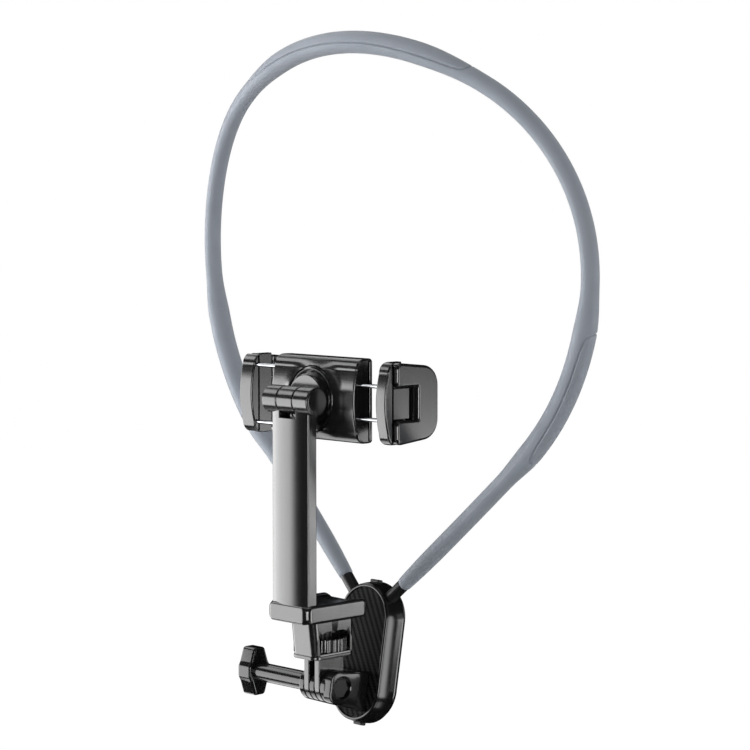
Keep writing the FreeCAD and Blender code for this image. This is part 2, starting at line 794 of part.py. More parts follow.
def build_arm():
    body = new_body("arm_body")
    pad(body, "blade", "XY_Plane", arm_section(), "Sizes.arm_socket + Sizes.barrel_rise", offset=ARM_FOOT)
    round_pad(body, "barrel", "YZ_Plane", ARM_Y, BARREL_Z, "Sizes.barrel_radius", "Sizes.barrel_long",
              both=True)
    gap = S["knuckle_wide"] / 2 + S["knuckle_play"]
    deep = BARREL_Z - S["barrel_radius"] - S["knuckle_play"] - S["notch_extra"]
    notch = rectangle(-gap, deep, gap, BARREL_Z + 2 * S["barrel_radius"])
    pocket(body, "notch", "XZ_Plane", notch, "4 * Sizes.arm_forward", both=True)
    round_pocket(body, "pin_way", "YZ_Plane", ARM_Y, BARREL_Z, "Sizes.tilt_pin_radius + Sizes.running_fit",
                 "2 * Sizes.barrel_long", both=True)
    keep(body, "arm", AT_STAND)
    start = STAND + Vector(-S["barrel_long"] / 2, ARM_Y, BARREL_Z)
    pin = rod("pin", "Sizes.tilt_pin_radius", "Sizes.barrel_long", start, Vector(1, 0, 0))
    keep(pin, "tilt_pin")


# Swivel head and clamp, built round the barrel's axis

BARREL = STAND + Vector(0, ARM_Y, BARREL_Z)
AT_BARREL = Placement(BARREL, Rotation())
DISC_Y = S["disc_forward"]
RING_Y = DISC_Y + S["disc_thick"]
RING_BACK = RING_Y + S["ring_thick"]
DISH_Y = RING_BACK + S["swivel_gap"]
BODY_Y = DISH_Y - S["dish_depth"]
BODY_BACK = BODY_Y + S["body_thick"]
COVER_BACK = BODY_BACK + S["cover_thick"]
ROD_Y = BODY_Y + S["rod_depth"]
RODS = {side: S["body_tall"] / 2 - S[side + "_rod_edge"] for side in ("left", "right")}
FLOOR_Y = DISH_Y + S["dish_floor"]


def build_head():
    body = new_body("head_body")
    round_pad(body, "knuckle", "YZ_Plane", 0, 0, "Sizes.barrel_radius", "Sizes.knuckle_wide", both=True)
    half = S["barrel_radius"] - S["web_step"]
    web = rectangle(0, -half, DISC_Y + S["disc_thick"] / 2, half)
    pad(body, "web", "YZ_Plane", web, "Sizes.knuckle_wide", both=True)
    round_pad(body, "disc", "XZ_Plane", 0, 0, "Sizes.disc_radius", "Sizes.disc_thick",
              offset=-DISC_Y, back=True)
    round_pad(body, "ring", "XZ_Plane", 0, 0, "Sizes.ring_radius", "Sizes.ring_thick",
              offset=-RING_Y, back=True)
    between = (S["disc_radius"] + S["ring_radius"]) / 2
    dress(body, "Chamfer", "Sizes.ring_bevel",
          lambda edge: on_plane("Y", RING_Y)(edge) and edge.BoundBox.XMax > between)
    length = "Sizes.swivel_gap + Sizes.dish_floor + Sizes.swivel_gap"
    round_pad(body, "spigot", "XZ_Plane", 0, 0, "Sizes.spigot_radius", length, offset=-RING_BACK, back=True)
    round_pocket(body, "pin_way", "YZ_Plane", 0, 0, "Sizes.tilt_pin_radius + Sizes.running_fit",
                 "2 * Sizes.barrel_long", both=True)
    keep(body, "swivel_head", AT_BARREL)
    start = BARREL + Vector(0, FLOOR_Y + S["swivel_gap"], 0)
    washer = rod("washer", "Sizes.washer_radius", "Sizes.washer_thick", start, Vector(0, 1, 0))
    keep(washer, "swivel_washer")


def shell_side(front, back, tall, crown, edge):
    """Side outline of a clamp piece: flat back, crowned front with rolled edges."""
    z = tall / 2
    k = edge * (1 - math.sqrt(0.5))
    return [
        (back, -z), (back, z), (front + crown + edge, z),
        (front + crown + k, z - k, front + crown, z - edge),
        (front, 0, front + crown, edge - z),
        (front + crown + k, k - z, front + crown + edge, -z),
    ]


def build_clamp():
    body = new_body("clamp_shell")
    side = shell_side(BODY_Y, BODY_BACK, S["body_tall"], S["body_crown"], S["body_edge"])
    pad(body, "side", "YZ_Plane", side, "Sizes.body_wide", both=True)
    round_pocket(body, "dish", "XZ_Plane", 0, 0, "Sizes.ring_radius + Sizes.dish_play",
                 "2 * Sizes.dish_depth", offset=-DISH_Y, back=True)
    round_pocket(body, "spigot_way", "XZ_Plane", 0, 0, "Sizes.spigot_radius + Sizes.running_fit",
                 "4 * Sizes.body_thick", both=True, offset=-DISH_Y)
    round_pocket(body, "washer_room", "XZ_Plane", 0, 0, "Sizes.pocket_radius",
                 "Sizes.body_thick", offset=-FLOOR_Y)
    for side, level in RODS.items():
        for end in (-1, 1):
            round_pocket(body, side + "_rod_way", "YZ_Plane", ROD_Y, end * level,
                         "Sizes.rod_radius + Sizes.running_fit", "2 * Sizes.body_wide", both=True)
    keep(body, "clamp_body", AT_BARREL)

    cover = new_body("cover_body")
    half = S["body_wide"] / 2
    tall = S["body_tall"] / 2
    pad(cover, "cover_plan", "XZ_Plane", rounded(-half, -tall, half, tall, S["cover_thick"]),
        "Sizes.cover_thick", offset=-BODY_BACK, back=True)
    keep(cover, "clamp_cover", AT_BARREL)

    cushion = new_body("cushion_body")
    half = S["back_pad_wide"] / 2
    tall = S["back_pad_tall"] / 2
    pad(cushion, "cushion_plan", "XZ_Plane", rounded(-half, -tall, half, tall, S["body_edge"]),
        "Sizes.back_pad_thick", offset=-COVER_BACK, back=True)
    keep(cushion, "back_pad", AT_BARREL)


# Jaws slide on rods; the claws fold in on upright pins. The right side is drawn, the left mirrors it.

JAW_X = S["body_wide"] / 2 + S["jaw_gap"]
JAW_BACK = BODY_Y + S["jaw_thick"]
JAW_OUT = JAW_X + S["jaw_wide"]
HINGE_X = JAW_OUT - S["hinge_in"]
HINGE_Y = JAW_BACK + S["hinge_back"]
CLAW_IN = JAW_OUT + S["claw_play"]
CLAW_OUT = CLAW_IN + S["claw_thick"]


def build_rods():
    """Rods whose inner ends stop short of the other side's jaw when both jaws are closed."""
    length = "Sizes.body_wide + Sizes.rod_in_jaw"
    for label, side in (("left", -1), ("right", 1)):
        for name, end in (("upper", 1), ("lower", -1)):
            start = BARREL + Vector(side * (JAW_X - S["body_wide"]), ROD_Y, end * RODS[label])
            item = rod("rod", "Sizes.rod_radius", length, start, Vector(side, 0, 0))
            keep(item, "rod_%s_%s" % (label, name))


def build_jaw(label):
    """Sliding block whose wide front covers the claw's edge; a tongue carries the hinge pin."""
    body = new_body("jaw_" + label + "_block")
    side = shell_side(BODY_Y, JAW_BACK, S["jaw_tall"], S["body_crown"], S["body_edge"])
    pad(body, "side", "YZ_Plane", side, "Sizes.jaw_front_wide", offset=JAW_X)
    wall = BODY_Y + S["jaw_front_deep"]
    inner = S["tongue_tall"] / 2
    outer = S["jaw_tall"] / 2 + PAST
    for end in (-1, 1):
        room = rectangle(wall, end * inner, JAW_BACK + PAST, end * outer)
        pocket(body, "claw_room", "YZ_Plane", room, "Sizes.jaw_front_wide", offset=JAW_OUT, back=True)
    r = S["hinge_radius"]
    root = JAW_BACK - PAST
    face = JAW_X + S["jaw_front_wide"]
    step = HINGE_Y - S["tongue_step"]
    tongue = [
        (HINGE_X - r, root), (face, root), (face, step), (HINGE_X + r, step), (HINGE_X + r, HINGE_Y),
        (HINGE_X, HINGE_Y + r, HINGE_X - r, HINGE_Y),
    ]
    pad(body, "tongue", "XY_Plane", tongue, "Sizes.tongue_tall", both=True)
    round_pocket(body, "hinge_way", "XY_Plane", HINGE_X, HINGE_Y,
                 "Sizes.hinge_pin_radius + Sizes.running_fit", "2 * Sizes.tongue_tall", both=True)
    for end in (-1, 1):
        round_pocket(body, "rod_seat", "YZ_Plane", ROD_Y, end * RODS[label],
                     "Sizes.rod_radius + Sizes.running_fit", "Sizes.rod_in_jaw + Sizes.end_play",
                     offset=JAW_X, back=True)
    return body


def build_claw():
    """Folding claw: a plate with a notch round the tongue and two hinge lugs."""
    body = new_body("claw_body")
    half = S["jaw_tall"] / 2
    front = HINGE_Y - S["claw_forward"]
    back = HINGE_Y + S["claw_back"]
    r = S["claw_corner"]
    k = r * (1 - math.sqrt(0.5))
    plate = [
        (front, -half), (back - r, -half), (back - k, k - half, back, r - half),
        (back, half - r), (back - k, half - k, back - r, half), (front, half),
    ]
    pad(body, "plate", "YZ_Plane", plate, "Sizes.claw_thick", offset=CLAW_IN)
    dress(body, "Chamfer", "Sizes.claw_edge", on_plane("X", CLAW_OUT))
    lug = S["hinge_radius"]
    lugs = [
        (CLAW_IN + PAST, HINGE_Y - lug), (CLAW_IN + PAST, HINGE_Y + lug), (HINGE_X, HINGE_Y + lug),
        (HINGE_X - lug, HINGE_Y, HINGE_X, HINGE_Y - lug),
    ]
    pad(body, "lugs", "XY_Plane", lugs, "Sizes.claw_pad_tall", both=True)
    gap = S["tongue_tall"] / 2 + S["tongue_play"]
    notch = rectangle(front - PAST, -gap, HINGE_Y + lug + S["tongue_play"] + S["notch_room"], gap)
    pocket(body, "notch", "YZ_Plane", notch, "4 * Sizes.body_wide", both=True)
    round_pocket(body, "hinge_way", "XY_Plane", HINGE_X, HINGE_Y,
                 "Sizes.hinge_pin_radius + Sizes.running_fit", "2 * Sizes.jaw_tall", both=True)
    return keep(body, "claw_right", AT_BARREL)


def build_claw_pad():
    """Rubber lining of the claw, with a small lip that holds the phone's front edge."""
    body = new_body("claw_pad_body")
    start = HINGE_Y + S["hinge_radius"] + 2 * S["tongue_play"]
    end = HINGE_Y + S["claw_back"]
    face = CLAW_IN - S["claw_pad_thick"]
    plan = [
        (CLAW_IN, start), (CLAW_IN, end), (face - S["claw_lip"], end),
        (face - S["claw_lip"], end - S["claw_lip_deep"] / 2), (face, end - S["claw_lip_deep"]), (face, start),
    ]
    pad(body, "lining", "XY_Plane", plan, "Sizes.claw_pad_tall", both=True)
    half = S["claw_pad_tall"] / 2
    cut_corner = S["claw_corner"] - (S["jaw_tall"] / 2 - half)
    for side in (-1, 1):
        corner = [(end + PAST, side * (half + PAST)), (end + PAST, side * (half - cut_corner)),
                  (end, side * (half - cut_corner)), (end - cut_corner, side * half),
                  (end - cut_corner, side * (half + PAST))]
        pocket(body, "corner", "YZ_Plane", corner, "8 * Sizes.body_wide", both=True)
    return keep(body, "claw_pad_right", AT_BARREL)


def build_hinge_pin():
    start = BARREL + Vector(HINGE_X, HINGE_Y, -S["claw_pad_tall"] / 2)
    pin = rod("hinge_pin", "Sizes.hinge_pin_radius", "Sizes.claw_pad_tall", start, Vector(0, 0, 1))
    return keep(pin, "claw_pin_right")


def build_jaws():
    build_rods()
    keep(build_jaw("right"), "jaw_right", AT_BARREL)
    left = build_jaw("left")
    left.Placement = AT_BARREL
    mirrored(left, "jaw_left")
    for item, label in ((build_claw(), "claw_left"), (build_claw_pad(), "claw_pad_left"),
                        (build_hinge_pin(), "claw_pin_left")):
        mirrored(item, label)


def export():
    """Check every object, then write one file for each sub-part."""
    doc.recompute()
    for item in doc.Objects:
        if "Invalid" in item.State or "Error" in item.State:
            raise RuntimeError("failed: %s %s" % (item.Name, item.State))
    for item in nodes:
        if item.Shape.isNull() or not item.Shape.isValid():
            raise RuntimeError("bad shape: " + item.Label)
    os.makedirs("parts", exist_ok=True)
    for item in nodes:
        item.Shape.exportStep(os.path.join("parts", item.Label + ".step"))
        print("%s: %.1f mm3" % (item.Label, item.Shape.Volume))


build_loop()
build_pod()
build_fork()
build_screw()
build_adapter()
build_wheel()
build_base()
build_arm()
build_head()
build_clamp()
build_jaws()
export()
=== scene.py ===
"""Looks of a neck phone holder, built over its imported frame.

Sizes are in millimetres in the frame's own axes: +Z up, the wearer at +Y, the origin where
the loop rests on the nape. Points become metres only when a mesh is made.
"""
import json
import logging
import math
from dataclasses import dataclass, field
from enum import Enum
from typing import Dict, List, Optional, Sequence, Tuple

import bmesh
import bpy
import numpy as np
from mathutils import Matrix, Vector


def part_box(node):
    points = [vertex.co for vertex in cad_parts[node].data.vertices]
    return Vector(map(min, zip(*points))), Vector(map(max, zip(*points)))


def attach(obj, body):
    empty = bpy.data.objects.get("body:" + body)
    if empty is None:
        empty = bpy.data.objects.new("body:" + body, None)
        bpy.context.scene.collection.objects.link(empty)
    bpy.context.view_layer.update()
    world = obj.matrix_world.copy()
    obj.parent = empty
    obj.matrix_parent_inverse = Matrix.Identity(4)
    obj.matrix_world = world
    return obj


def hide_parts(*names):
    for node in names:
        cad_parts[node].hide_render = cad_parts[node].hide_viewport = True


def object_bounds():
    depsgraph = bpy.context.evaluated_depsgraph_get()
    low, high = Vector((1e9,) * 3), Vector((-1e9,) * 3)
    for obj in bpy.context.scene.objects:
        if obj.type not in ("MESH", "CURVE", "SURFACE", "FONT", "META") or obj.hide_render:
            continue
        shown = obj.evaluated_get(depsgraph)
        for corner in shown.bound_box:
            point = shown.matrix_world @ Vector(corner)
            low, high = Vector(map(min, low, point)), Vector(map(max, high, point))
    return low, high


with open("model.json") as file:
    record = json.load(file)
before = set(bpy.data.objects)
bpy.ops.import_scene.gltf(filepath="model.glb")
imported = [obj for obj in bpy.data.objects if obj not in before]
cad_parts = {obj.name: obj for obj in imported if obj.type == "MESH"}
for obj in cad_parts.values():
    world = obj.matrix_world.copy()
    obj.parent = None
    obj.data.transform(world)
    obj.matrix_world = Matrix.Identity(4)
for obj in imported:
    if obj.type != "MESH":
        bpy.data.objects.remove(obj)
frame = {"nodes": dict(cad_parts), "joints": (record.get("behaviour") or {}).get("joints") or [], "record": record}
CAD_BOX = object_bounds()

Array = np.ndarray
Triple = Tuple[float, float, float]
Colour = Triple
Socket = bpy.types.NodeSocket
LOG = logging.getLogger("holder")
MM = 0.001
TINY = 1e-9
SAME_POINT = 1e-5
FULL_TURN = 2 * math.pi
QUARTER_TURN = math.pi / 2
# Least radius of a turned profile whose end is closed by a flat face
NEAR_AXIS = 0.4
ACROSS = np.array([-1.0, 1.0, 1.0])
SQUARE = ((-1, -1), (1, -1), (1, 1), (-1, 1))
WHITE = (1.0, 1.0, 1.0, 1.0)
# Where most values of a noise lie
NOISE_SPAN = (0.3, 0.7)
# Colour sockets of a mix node
MIX_FIRST, MIX_SECOND, MIX_RESULT = 6, 7, 2


class Axis(Enum):
    """Direction along which an outline is carried."""

    X = 0
    Y = 1
    Z = 2

    def stack(self, flat: Array, height: Array) -> Array:
        """Join plane coordinates and heights to points.

        Args:
            flat: plane coordinates in the order of the other two axes, shape (..., 2).
            height: coordinate along this axis, shape (...).

        Returns:
            Points of shape (..., 3).
        """
        parts = [flat[..., 0], flat[..., 1]]
        parts.insert(self.value, np.broadcast_to(height, flat.shape[:-1]))
        return np.stack(parts, -1)


# Shapes worked out as whole arrays


@dataclass(frozen=True)
class Shape:
    """Points in millimetres and the faces between them."""

    points: Array
    faces: List[List[int]]

    def joined(self, *others: "Shape") -> "Shape":
        """One shape that holds this one and the others.

        Args:
            others: shapes to add, each with its own numbering.

        Returns:
            The shape with all points and faces.
        """
        points, faces = [self.points], list(self.faces)
        start = len(self.points)
        for other in others:
            faces += [[start + corner for corner in face] for face in other.faces]
            points.append(other.points)
            start += len(other.points)
        return Shape(np.concatenate(points), faces)

    def moved(self, offset: Sequence[float]) -> "Shape":
        """The shape moved by an offset."""
        return Shape(self.points + np.asarray(offset, float), self.faces)

    def turned(self, turn: Array, at: Array) -> "Shape":
        """The shape turned by a matrix and then moved to a point."""
        return Shape(self.points @ turn.T + at, self.faces)

    def mirrored(self) -> "Shape":
        """The shape on the other side of the middle plane."""
        return Shape(self.points * ACROSS, self.faces)


def circle(angle: Array) -> Array:
    """Unit vectors in a plane at the given angles."""
    return np.stack([np.cos(angle), np.sin(angle)], -1)


def even_angles(count: int) -> Array:
    """Angles spread evenly over one turn, from 0."""
    return np.linspace(0, FULL_TURN, count, endpoint=False)


def unit(rows: Array) -> Array:
    """Rows scaled to length 1."""
    return rows / np.linalg.norm(rows, axis=1, keepdims=True)


def lid(ring: int, around: int) -> List[int]:
    """The face that closes a ring of points."""
    return list(range(ring * around, (ring + 1) * around))


def bands(rings: int, around: int, closed: bool = False) -> List[List[int]]:
    """Quads between neighbouring rings of points.

    Args:
        rings: how many rings there are, numbered one after the other.
        around: points in each ring.
        closed: whether the last ring joins the first.

    Returns:
        Faces as lists of point numbers.
    """
    count = rings if closed else rings - 1
    low = np.arange(count)[:, None] * around
    high = ((np.arange(count) + 1) % rings)[:, None] * around
    here = np.arange(around)[None]
    there = (here + 1) % around
    quads = np.stack([low + here, low + there, high + there, high + here], -1)
    return quads.reshape(-1, 4).tolist()


def soften(corners: Sequence, radius, closed: bool = True, steps: int = 6) -> Array:
    """Polygon whose corners are tangent arcs.

    The arc of radius r in a corner of angle 2h touches its edges r / tan(h) away, round a
    centre r / sin(h) along the corner's bisector.

    Args:
        corners: corner points in a plane.
        radius: one radius, or one for each corner.
        closed: whether the last corner joins the first; open ends stay sharp.
        steps: pieces in each arc.

    Returns:
        Points along the softened line, shape (n, 2).
    """
    corners = np.asarray(corners, float)
    radius = np.broadcast_to(np.asarray(radius, float), len(corners)).copy()
    if not closed:
        radius[[0, -1]] = 0.0
    last = unit(np.roll(corners, 1, 0) - corners)
    ahead = unit(np.roll(corners, -1, 0) - corners)
    half = np.arccos(np.clip(np.sum(last * ahead, 1), -1, 1)) / 2
    reach = (radius / np.tan(half))[:, None]
    middle = last + ahead
    middle /= np.maximum(np.linalg.norm(middle, axis=1, keepdims=True), TINY)
    centre = corners + middle * (radius / np.sin(half))[:, None]
    start = corners + last * reach - centre
    end = corners + ahead * reach - centre
    first = np.arctan2(start[:, 1], start[:, 0])
    sweep = (np.arctan2(end[:, 1], end[:, 0]) - first + math.pi) % FULL_TURN - math.pi
    angle = first[:, None] + sweep[:, None] * np.linspace(0, 1, steps + 1)[None]
    line = (centre[:, None] + radius[:, None, None] * circle(angle)).reshape(-1, 2)
    keep = np.linalg.norm(line - np.roll(line, 1, 0), axis=1) > SAME_POINT
    if not closed:
        keep[0] = True
    return line[keep]


def refined(line: Array, step: float) -> Array:
    """Closed line with extra points on its long edges.

    Args:
        line: closed polyline, shape (n, 2).
        step: longest edge wanted.

    Returns:
        The same line with points at every step of arc length as well, but none close to a corner.
    """
    whole = np.concatenate([line, line[:1]])
    along = np.concatenate([[0.0], np.cumsum(np.linalg.norm(np.diff(whole, axis=0), axis=1))])
    spots = np.arange(0, along[-1], step)
    near = np.min(np.abs(spots[:, None] - along[None]), axis=1)
    close = step * 0.3
    spots = np.sort(np.concatenate([along[:-1], spots[near > close]]))
    return np.stack([np.interp(spots, along, whole[:, k]) for k in (0, 1)], 1)


def by_angle(line: Array, centre: Array, angle: Array, step: float) -> Array:
    """Outline points on rays from a centre.

    Args:
        line: closed outline, seen whole from the centre.
        centre: where the rays start.
        angle: the rays' angles.
        step: longest edge of the line that the rays are read from.

    Returns:
        One point for each ray.
    """
    fine = refined(line, step) - centre
    bearing = np.arctan2(fine[:, 1], fine[:, 0])
    order = np.argsort(bearing)
    far = np.linalg.norm(fine, axis=1)
    reach = np.interp(angle, bearing[order], far[order], period=FULL_TURN)
    return centre + reach[:, None] * circle(angle)


def outward(line: Array) -> Tuple[Array, Array]:
    """A closed line turned anticlockwise, and its mitred outward normals."""
    ahead = np.roll(line, -1, 0)
    area = np.sum(line[:, 0] * ahead[:, 1] - line[:, 1] * ahead[:, 0])
    ring = line if area > 0 else line[::-1]
    edge = unit(np.roll(ring, -1, 0) - ring)
    side = np.stack([edge[:, 1], -edge[:, 0]], 1)
    before = np.roll(side, 1, 0)
    return ring, (side + before) / (1 + np.sum(side * before, 1, keepdims=True))


def carry(line: Array, profile: Array, axis: Axis, lids: bool = True,
          dent: Optional[Array] = None) -> Shape:
    """Profile carried round an outline.

    Ring k is the outline moved inwards along its normals by profile[k, 0], at height profile[k, 1].

    Args:
        line: closed outline, shape (n, 2).
        profile: rows of inset and height.
        axis: direction of the heights.
        lids: whether the first and last rings are closed by a face.
        dent: extra inset for each ring and outline point.

    Returns:
        The carried surface.
    """
    ring, normal = outward(line)
    around = len(ring)
    inset = np.broadcast_to(profile[:, 0][:, None], (len(profile), around))
    if dent is not None:
        inset = inset + dent
    flat = ring[None] - inset[..., None] * normal[None]
    points = axis.stack(flat, profile[:, 1][:, None]).reshape(-1, 3)
    faces = bands(len(profile), around)
    if lids:
        faces += [lid(0, around), lid(len(profile) - 1, around)]
    return Shape(points, faces)


def rolled(low: float, high: float, radius: float, steps: int = 5) -> Array:
    """Profile of a slab whose edges at both heights are quarter circles."""
    turn = np.linspace(0, QUARTER_TURN, steps + 1)
    inset = radius * (1 - np.sin(turn))
    rise = radius * (1 - np.cos(turn))
    bottom = np.stack([inset, low + rise], 1)
    top = np.stack([inset, high - rise], 1)[::-1]
    return np.concatenate([bottom, top])


def slab(line: Array, low: float, high: float, radius: float, axis: Axis) -> Shape:
    """Outline thickened from low to high with rolled edges."""
    return carry(line, rolled(low, high, radius), axis)


def framed(outer: Array, inner: Array, profile: Array, axis: Axis, around: int,
           step: float = 0.05, ease: float = 0.25) -> Shape:
    """Slab with a window: both outlines are read by angle round the window's centre.

    Args:
        outer: outer outline, seen whole from the window's centre.
        inner: window outline.
        profile: rows of inset and height; the outer wall is drawn in along the plane's first axis.
        axis: direction of the heights.
        around: points in each ring.
        step: longest edge of the outlines that are read.
        ease: bevel of the window's two edges.

    Returns:
        A closed ring-shaped solid.
    """
    centre = (inner.min(0) + inner.max(0)) / 2
    angle = np.linspace(-math.pi, math.pi, around, endpoint=False)
    wall = by_angle(outer, centre, angle, step) - centre
    share = 1 - profile[:, 0] / np.abs(wall[:, 0]).max()
    level = np.broadcast_to(wall[:, 1], (len(share), around))
    flat = np.stack([share[:, None] * wall[None, :, 0], level], -1)
    outside = axis.stack(flat + centre, profile[:, 1][:, None]).reshape(-1, 3)
    last = len(profile) - 1
    bevel = np.interp(np.arange(last + 1), [0, 1, last - 1, last], [ease, 0, 0, ease])
    eased = np.stack([-bevel, profile[:, 1]], 1)[::-1]
    inside = carry(by_angle(inner, centre, angle, step), eased, axis, lids=False)
    points = np.concatenate([outside, inside.points])
    return Shape(points, bands(2 * len(profile), around, closed=True))


def lathe(profile: Array, axis: Axis, around: int = 72) -> Shape:
    """Profile rows of radius and height turned round an axis through the origin."""
    flat = profile[:, 0][:, None, None] * circle(even_angles(around))[None]
    points = axis.stack(flat, profile[:, 1][:, None]).reshape(-1, 3)
    lids = [lid(0, around), lid(len(profile) - 1, around)]
    return Shape(points, bands(len(profile), around) + lids)


def spun(rows: Sequence[Triple], axis: Axis, around: int = 72, steps: int = 6) -> Shape:
    """Rows of radius, height and corner radius, softened and turned round an axis."""
    table = np.array(rows)
    return lathe(soften(table[:, :2], table[:, 2], closed=False, steps=steps), axis, around)


def turned_rod(radius: float, low: float, high: float, edge: float, axis: Axis) -> Shape:
    """Plain rod with rolled ends."""
    inset, height = rolled(low, high, edge).T
    return lathe(np.stack([radius - inset, height], 1), axis)


def box_line(x0: float, y0: float, x1: float, y1: float, radius, steps: int = 6) -> Array:
    """Rectangle with round corners; radii go anticlockwise from the low corner."""
    return soften([(x0, y0), (x1, y0), (x1, y1), (x0, y1)], radius, steps=steps)


def capsule_line(wide: float, tall: float, step: float = 0.6) -> Array:
    """Upright capsule outline centred on the origin, with even short edges."""
    half = wide / 2
    nearly_half = half * 0.9999
    return refined(box_line(-half, -tall / 2, half, tall / 2, nearly_half, steps=40), step)


# Finishes


class Graph:
    """Small helper that lays nodes and links in a material."""

    def __init__(self, name: str) -> None:
        """Make a material that holds only its output and one shader."""
        self.material = bpy.data.materials.new(name)
        self.material.use_nodes = True
        self.tree = self.material.node_tree
        self.shader = self.tree.nodes["Principled BSDF"]

    def add(self, kind: str, links: Optional[Dict] = None, settings: Optional[Dict] = None,
            **fields) -> bpy.types.Node:
        """Add a node.

        Args:
            kind: node type without its ShaderNode prefix.
            links: input name or number to an output socket.
            settings: input name or number to a constant.
            fields: properties of the node itself.

        Returns:
            The node.
        """
        node = self.tree.nodes.new("ShaderNode" + kind)
        for key, value in fields.items():
            setattr(node, key, value)
        for key, value in (settings or {}).items():
            node.inputs[key].default_value = value
        for key, socket in (links or {}).items():
            self.tree.links.new(socket, node.inputs[key])
        return node

    def feed(self, **sockets: Socket) -> None:
        """Link sockets to the shader's inputs; an underscore stands for a space."""
        for key, socket in sockets.items():
            self.tree.links.new(socket, self.shader.inputs[key.replace("_", " ")])

    def fix(self, **values) -> None:
        """Set constants on the shader's inputs; an underscore stands for a space."""
        for key, value in values.items():
            self.shader.inputs[key.replace("_", " ")].default_value = value

    def surface(self, socket: Socket) -> None:
        """Link another shader to the material's output."""
        self.tree.links.new(socket, self.tree.nodes["Material Output"].inputs["Surface"])

    def place(self) -> Socket:
        """Object coordinates, in metres of the shared frame."""
        return self.add("TexCoord").outputs["Object"]

    def noise(self, where: Socket, scale: float, detail: float = 2.0) -> Socket:
        """Noise value at so many cells in a unit of the coordinates."""
        settings = {"Scale": scale, "Detail": detail}
        return self.add("TexNoise", {"Vector": where}, settings).outputs["Fac"]

    def span(self, value: Socket, low: float, high: float, start: float = 0.0,
             end: float = 1.0) -> Socket:
        """Map a value's span to low and high."""
        settings = {"From Min": start, "From Max": end, "To Min": low, "To Max": high}
        return self.add("MapRange", {"Value": value}, settings).outputs["Result"]

    def blend(self, share: Socket, first: Colour, second: Colour) -> Socket:
        """Mix two colours by a share."""
        settings = {MIX_FIRST: (*first, 1.0), MIX_SECOND: (*second, 1.0)}
        return self.add("Mix", {"Factor": share}, settings, data_type="RGBA").outputs[MIX_RESULT]

    def bump(self, height: Socket, strength: float, distance: float) -> Socket:
        """Normal bent by a height."""
        settings = {"Strength": strength, "Distance": distance}
        return self.add("Bump", {"Height": height}, settings).outputs["Normal"]

    def worn(self, low: float, high: float) -> Socket:
        """Share of wear on raised edges, from the surface's own pointiness."""
        point = self.add("NewGeometry").outputs["Pointiness"]
        return self.span(point, 0.0, 1.0, low, high)


@dataclass(frozen=True)
class Moulded:
    """Moulded plastic or rubber: fine grain, cloudy roughness and paler edges."""

    name: str
    colour: Colour
    edge: Colour
    rough: Tuple[float, float]
    grain: float
    grain_scale: float
    specular: float
    coat: float = 0.0
    sheen: float = 0.0
    grain_deep: float = 0.00006
    cloud_scale: float = 90.0
    cloud_detail: float = 3.0
    cloud_span: Tuple[float, float] = (0.35, 0.75)
    cloud_share: float = 0.16
    cloud_dark: float = 0.6
    wear_span: Tuple[float, float] = (0.52, 0.60)
    coat_rough: float = 0.08
    sheen_rough: float = 0.5

    def material(self) -> bpy.types.Material:
        """Make the material: base colour, clouded roughness, grain bump."""
        graph = Graph(self.name)
        where = graph.place()
        cloud = graph.noise(where, self.cloud_scale, self.cloud_detail)
        grain = graph.noise(where, self.grain_scale)
        tone = graph.blend(graph.worn(*self.wear_span), self.colour, self.edge)
        share = graph.span(cloud, 0.0, self.cloud_share, *self.cloud_span)
        dark = (*(self.cloud_dark * part for part in self.colour), 1.0)
        shade = graph.add("Mix", {"Factor": share, MIX_FIRST: tone}, {MIX_SECOND: dark}, data_type="RGBA")
        graph.feed(Base_Color=shade.outputs[MIX_RESULT],
                   Roughness=graph.span(cloud, *self.rough, *NOISE_SPAN),
                   Normal=graph.bump(grain, self.grain, self.grain_deep))
        graph.fix(Specular_IOR_Level=self.specular, Coat_Weight=self.coat,
                  Coat_Roughness=self.coat_rough, Sheen_Weight=self.sheen,
                  Sheen_Roughness=self.sheen_rough)
        return graph.material


@dataclass(frozen=True)
class Metal:
    """Drawn or turned metal: fine lines along one axis and cloudy roughness."""

    name: str
    colour: Colour
    rough: Tuple[float, float]
    stretch: Triple = (40.0, 2400.0, 2400.0)
    dark: float = 0.82
    lines: float = 0.12
    lines_deep: float = 0.00003

    def material(self) -> bpy.types.Material:
        """Make the material: metallic, with drawn lines as a slight bump."""
        graph = Graph(self.name)
        spread = graph.add("Mapping", {"Vector": graph.place()}, {"Scale": self.stretch})
        lines = graph.noise(spread.outputs["Vector"], 1.0)
        tone = graph.blend(lines, self.colour, tuple(self.dark * part for part in self.colour))
        graph.feed(Base_Color=tone, Roughness=graph.span(lines, *self.rough, *NOISE_SPAN),
                   Normal=graph.bump(lines, self.lines, self.lines_deep))
        graph.fix(Metallic=1.0)
        return graph.material


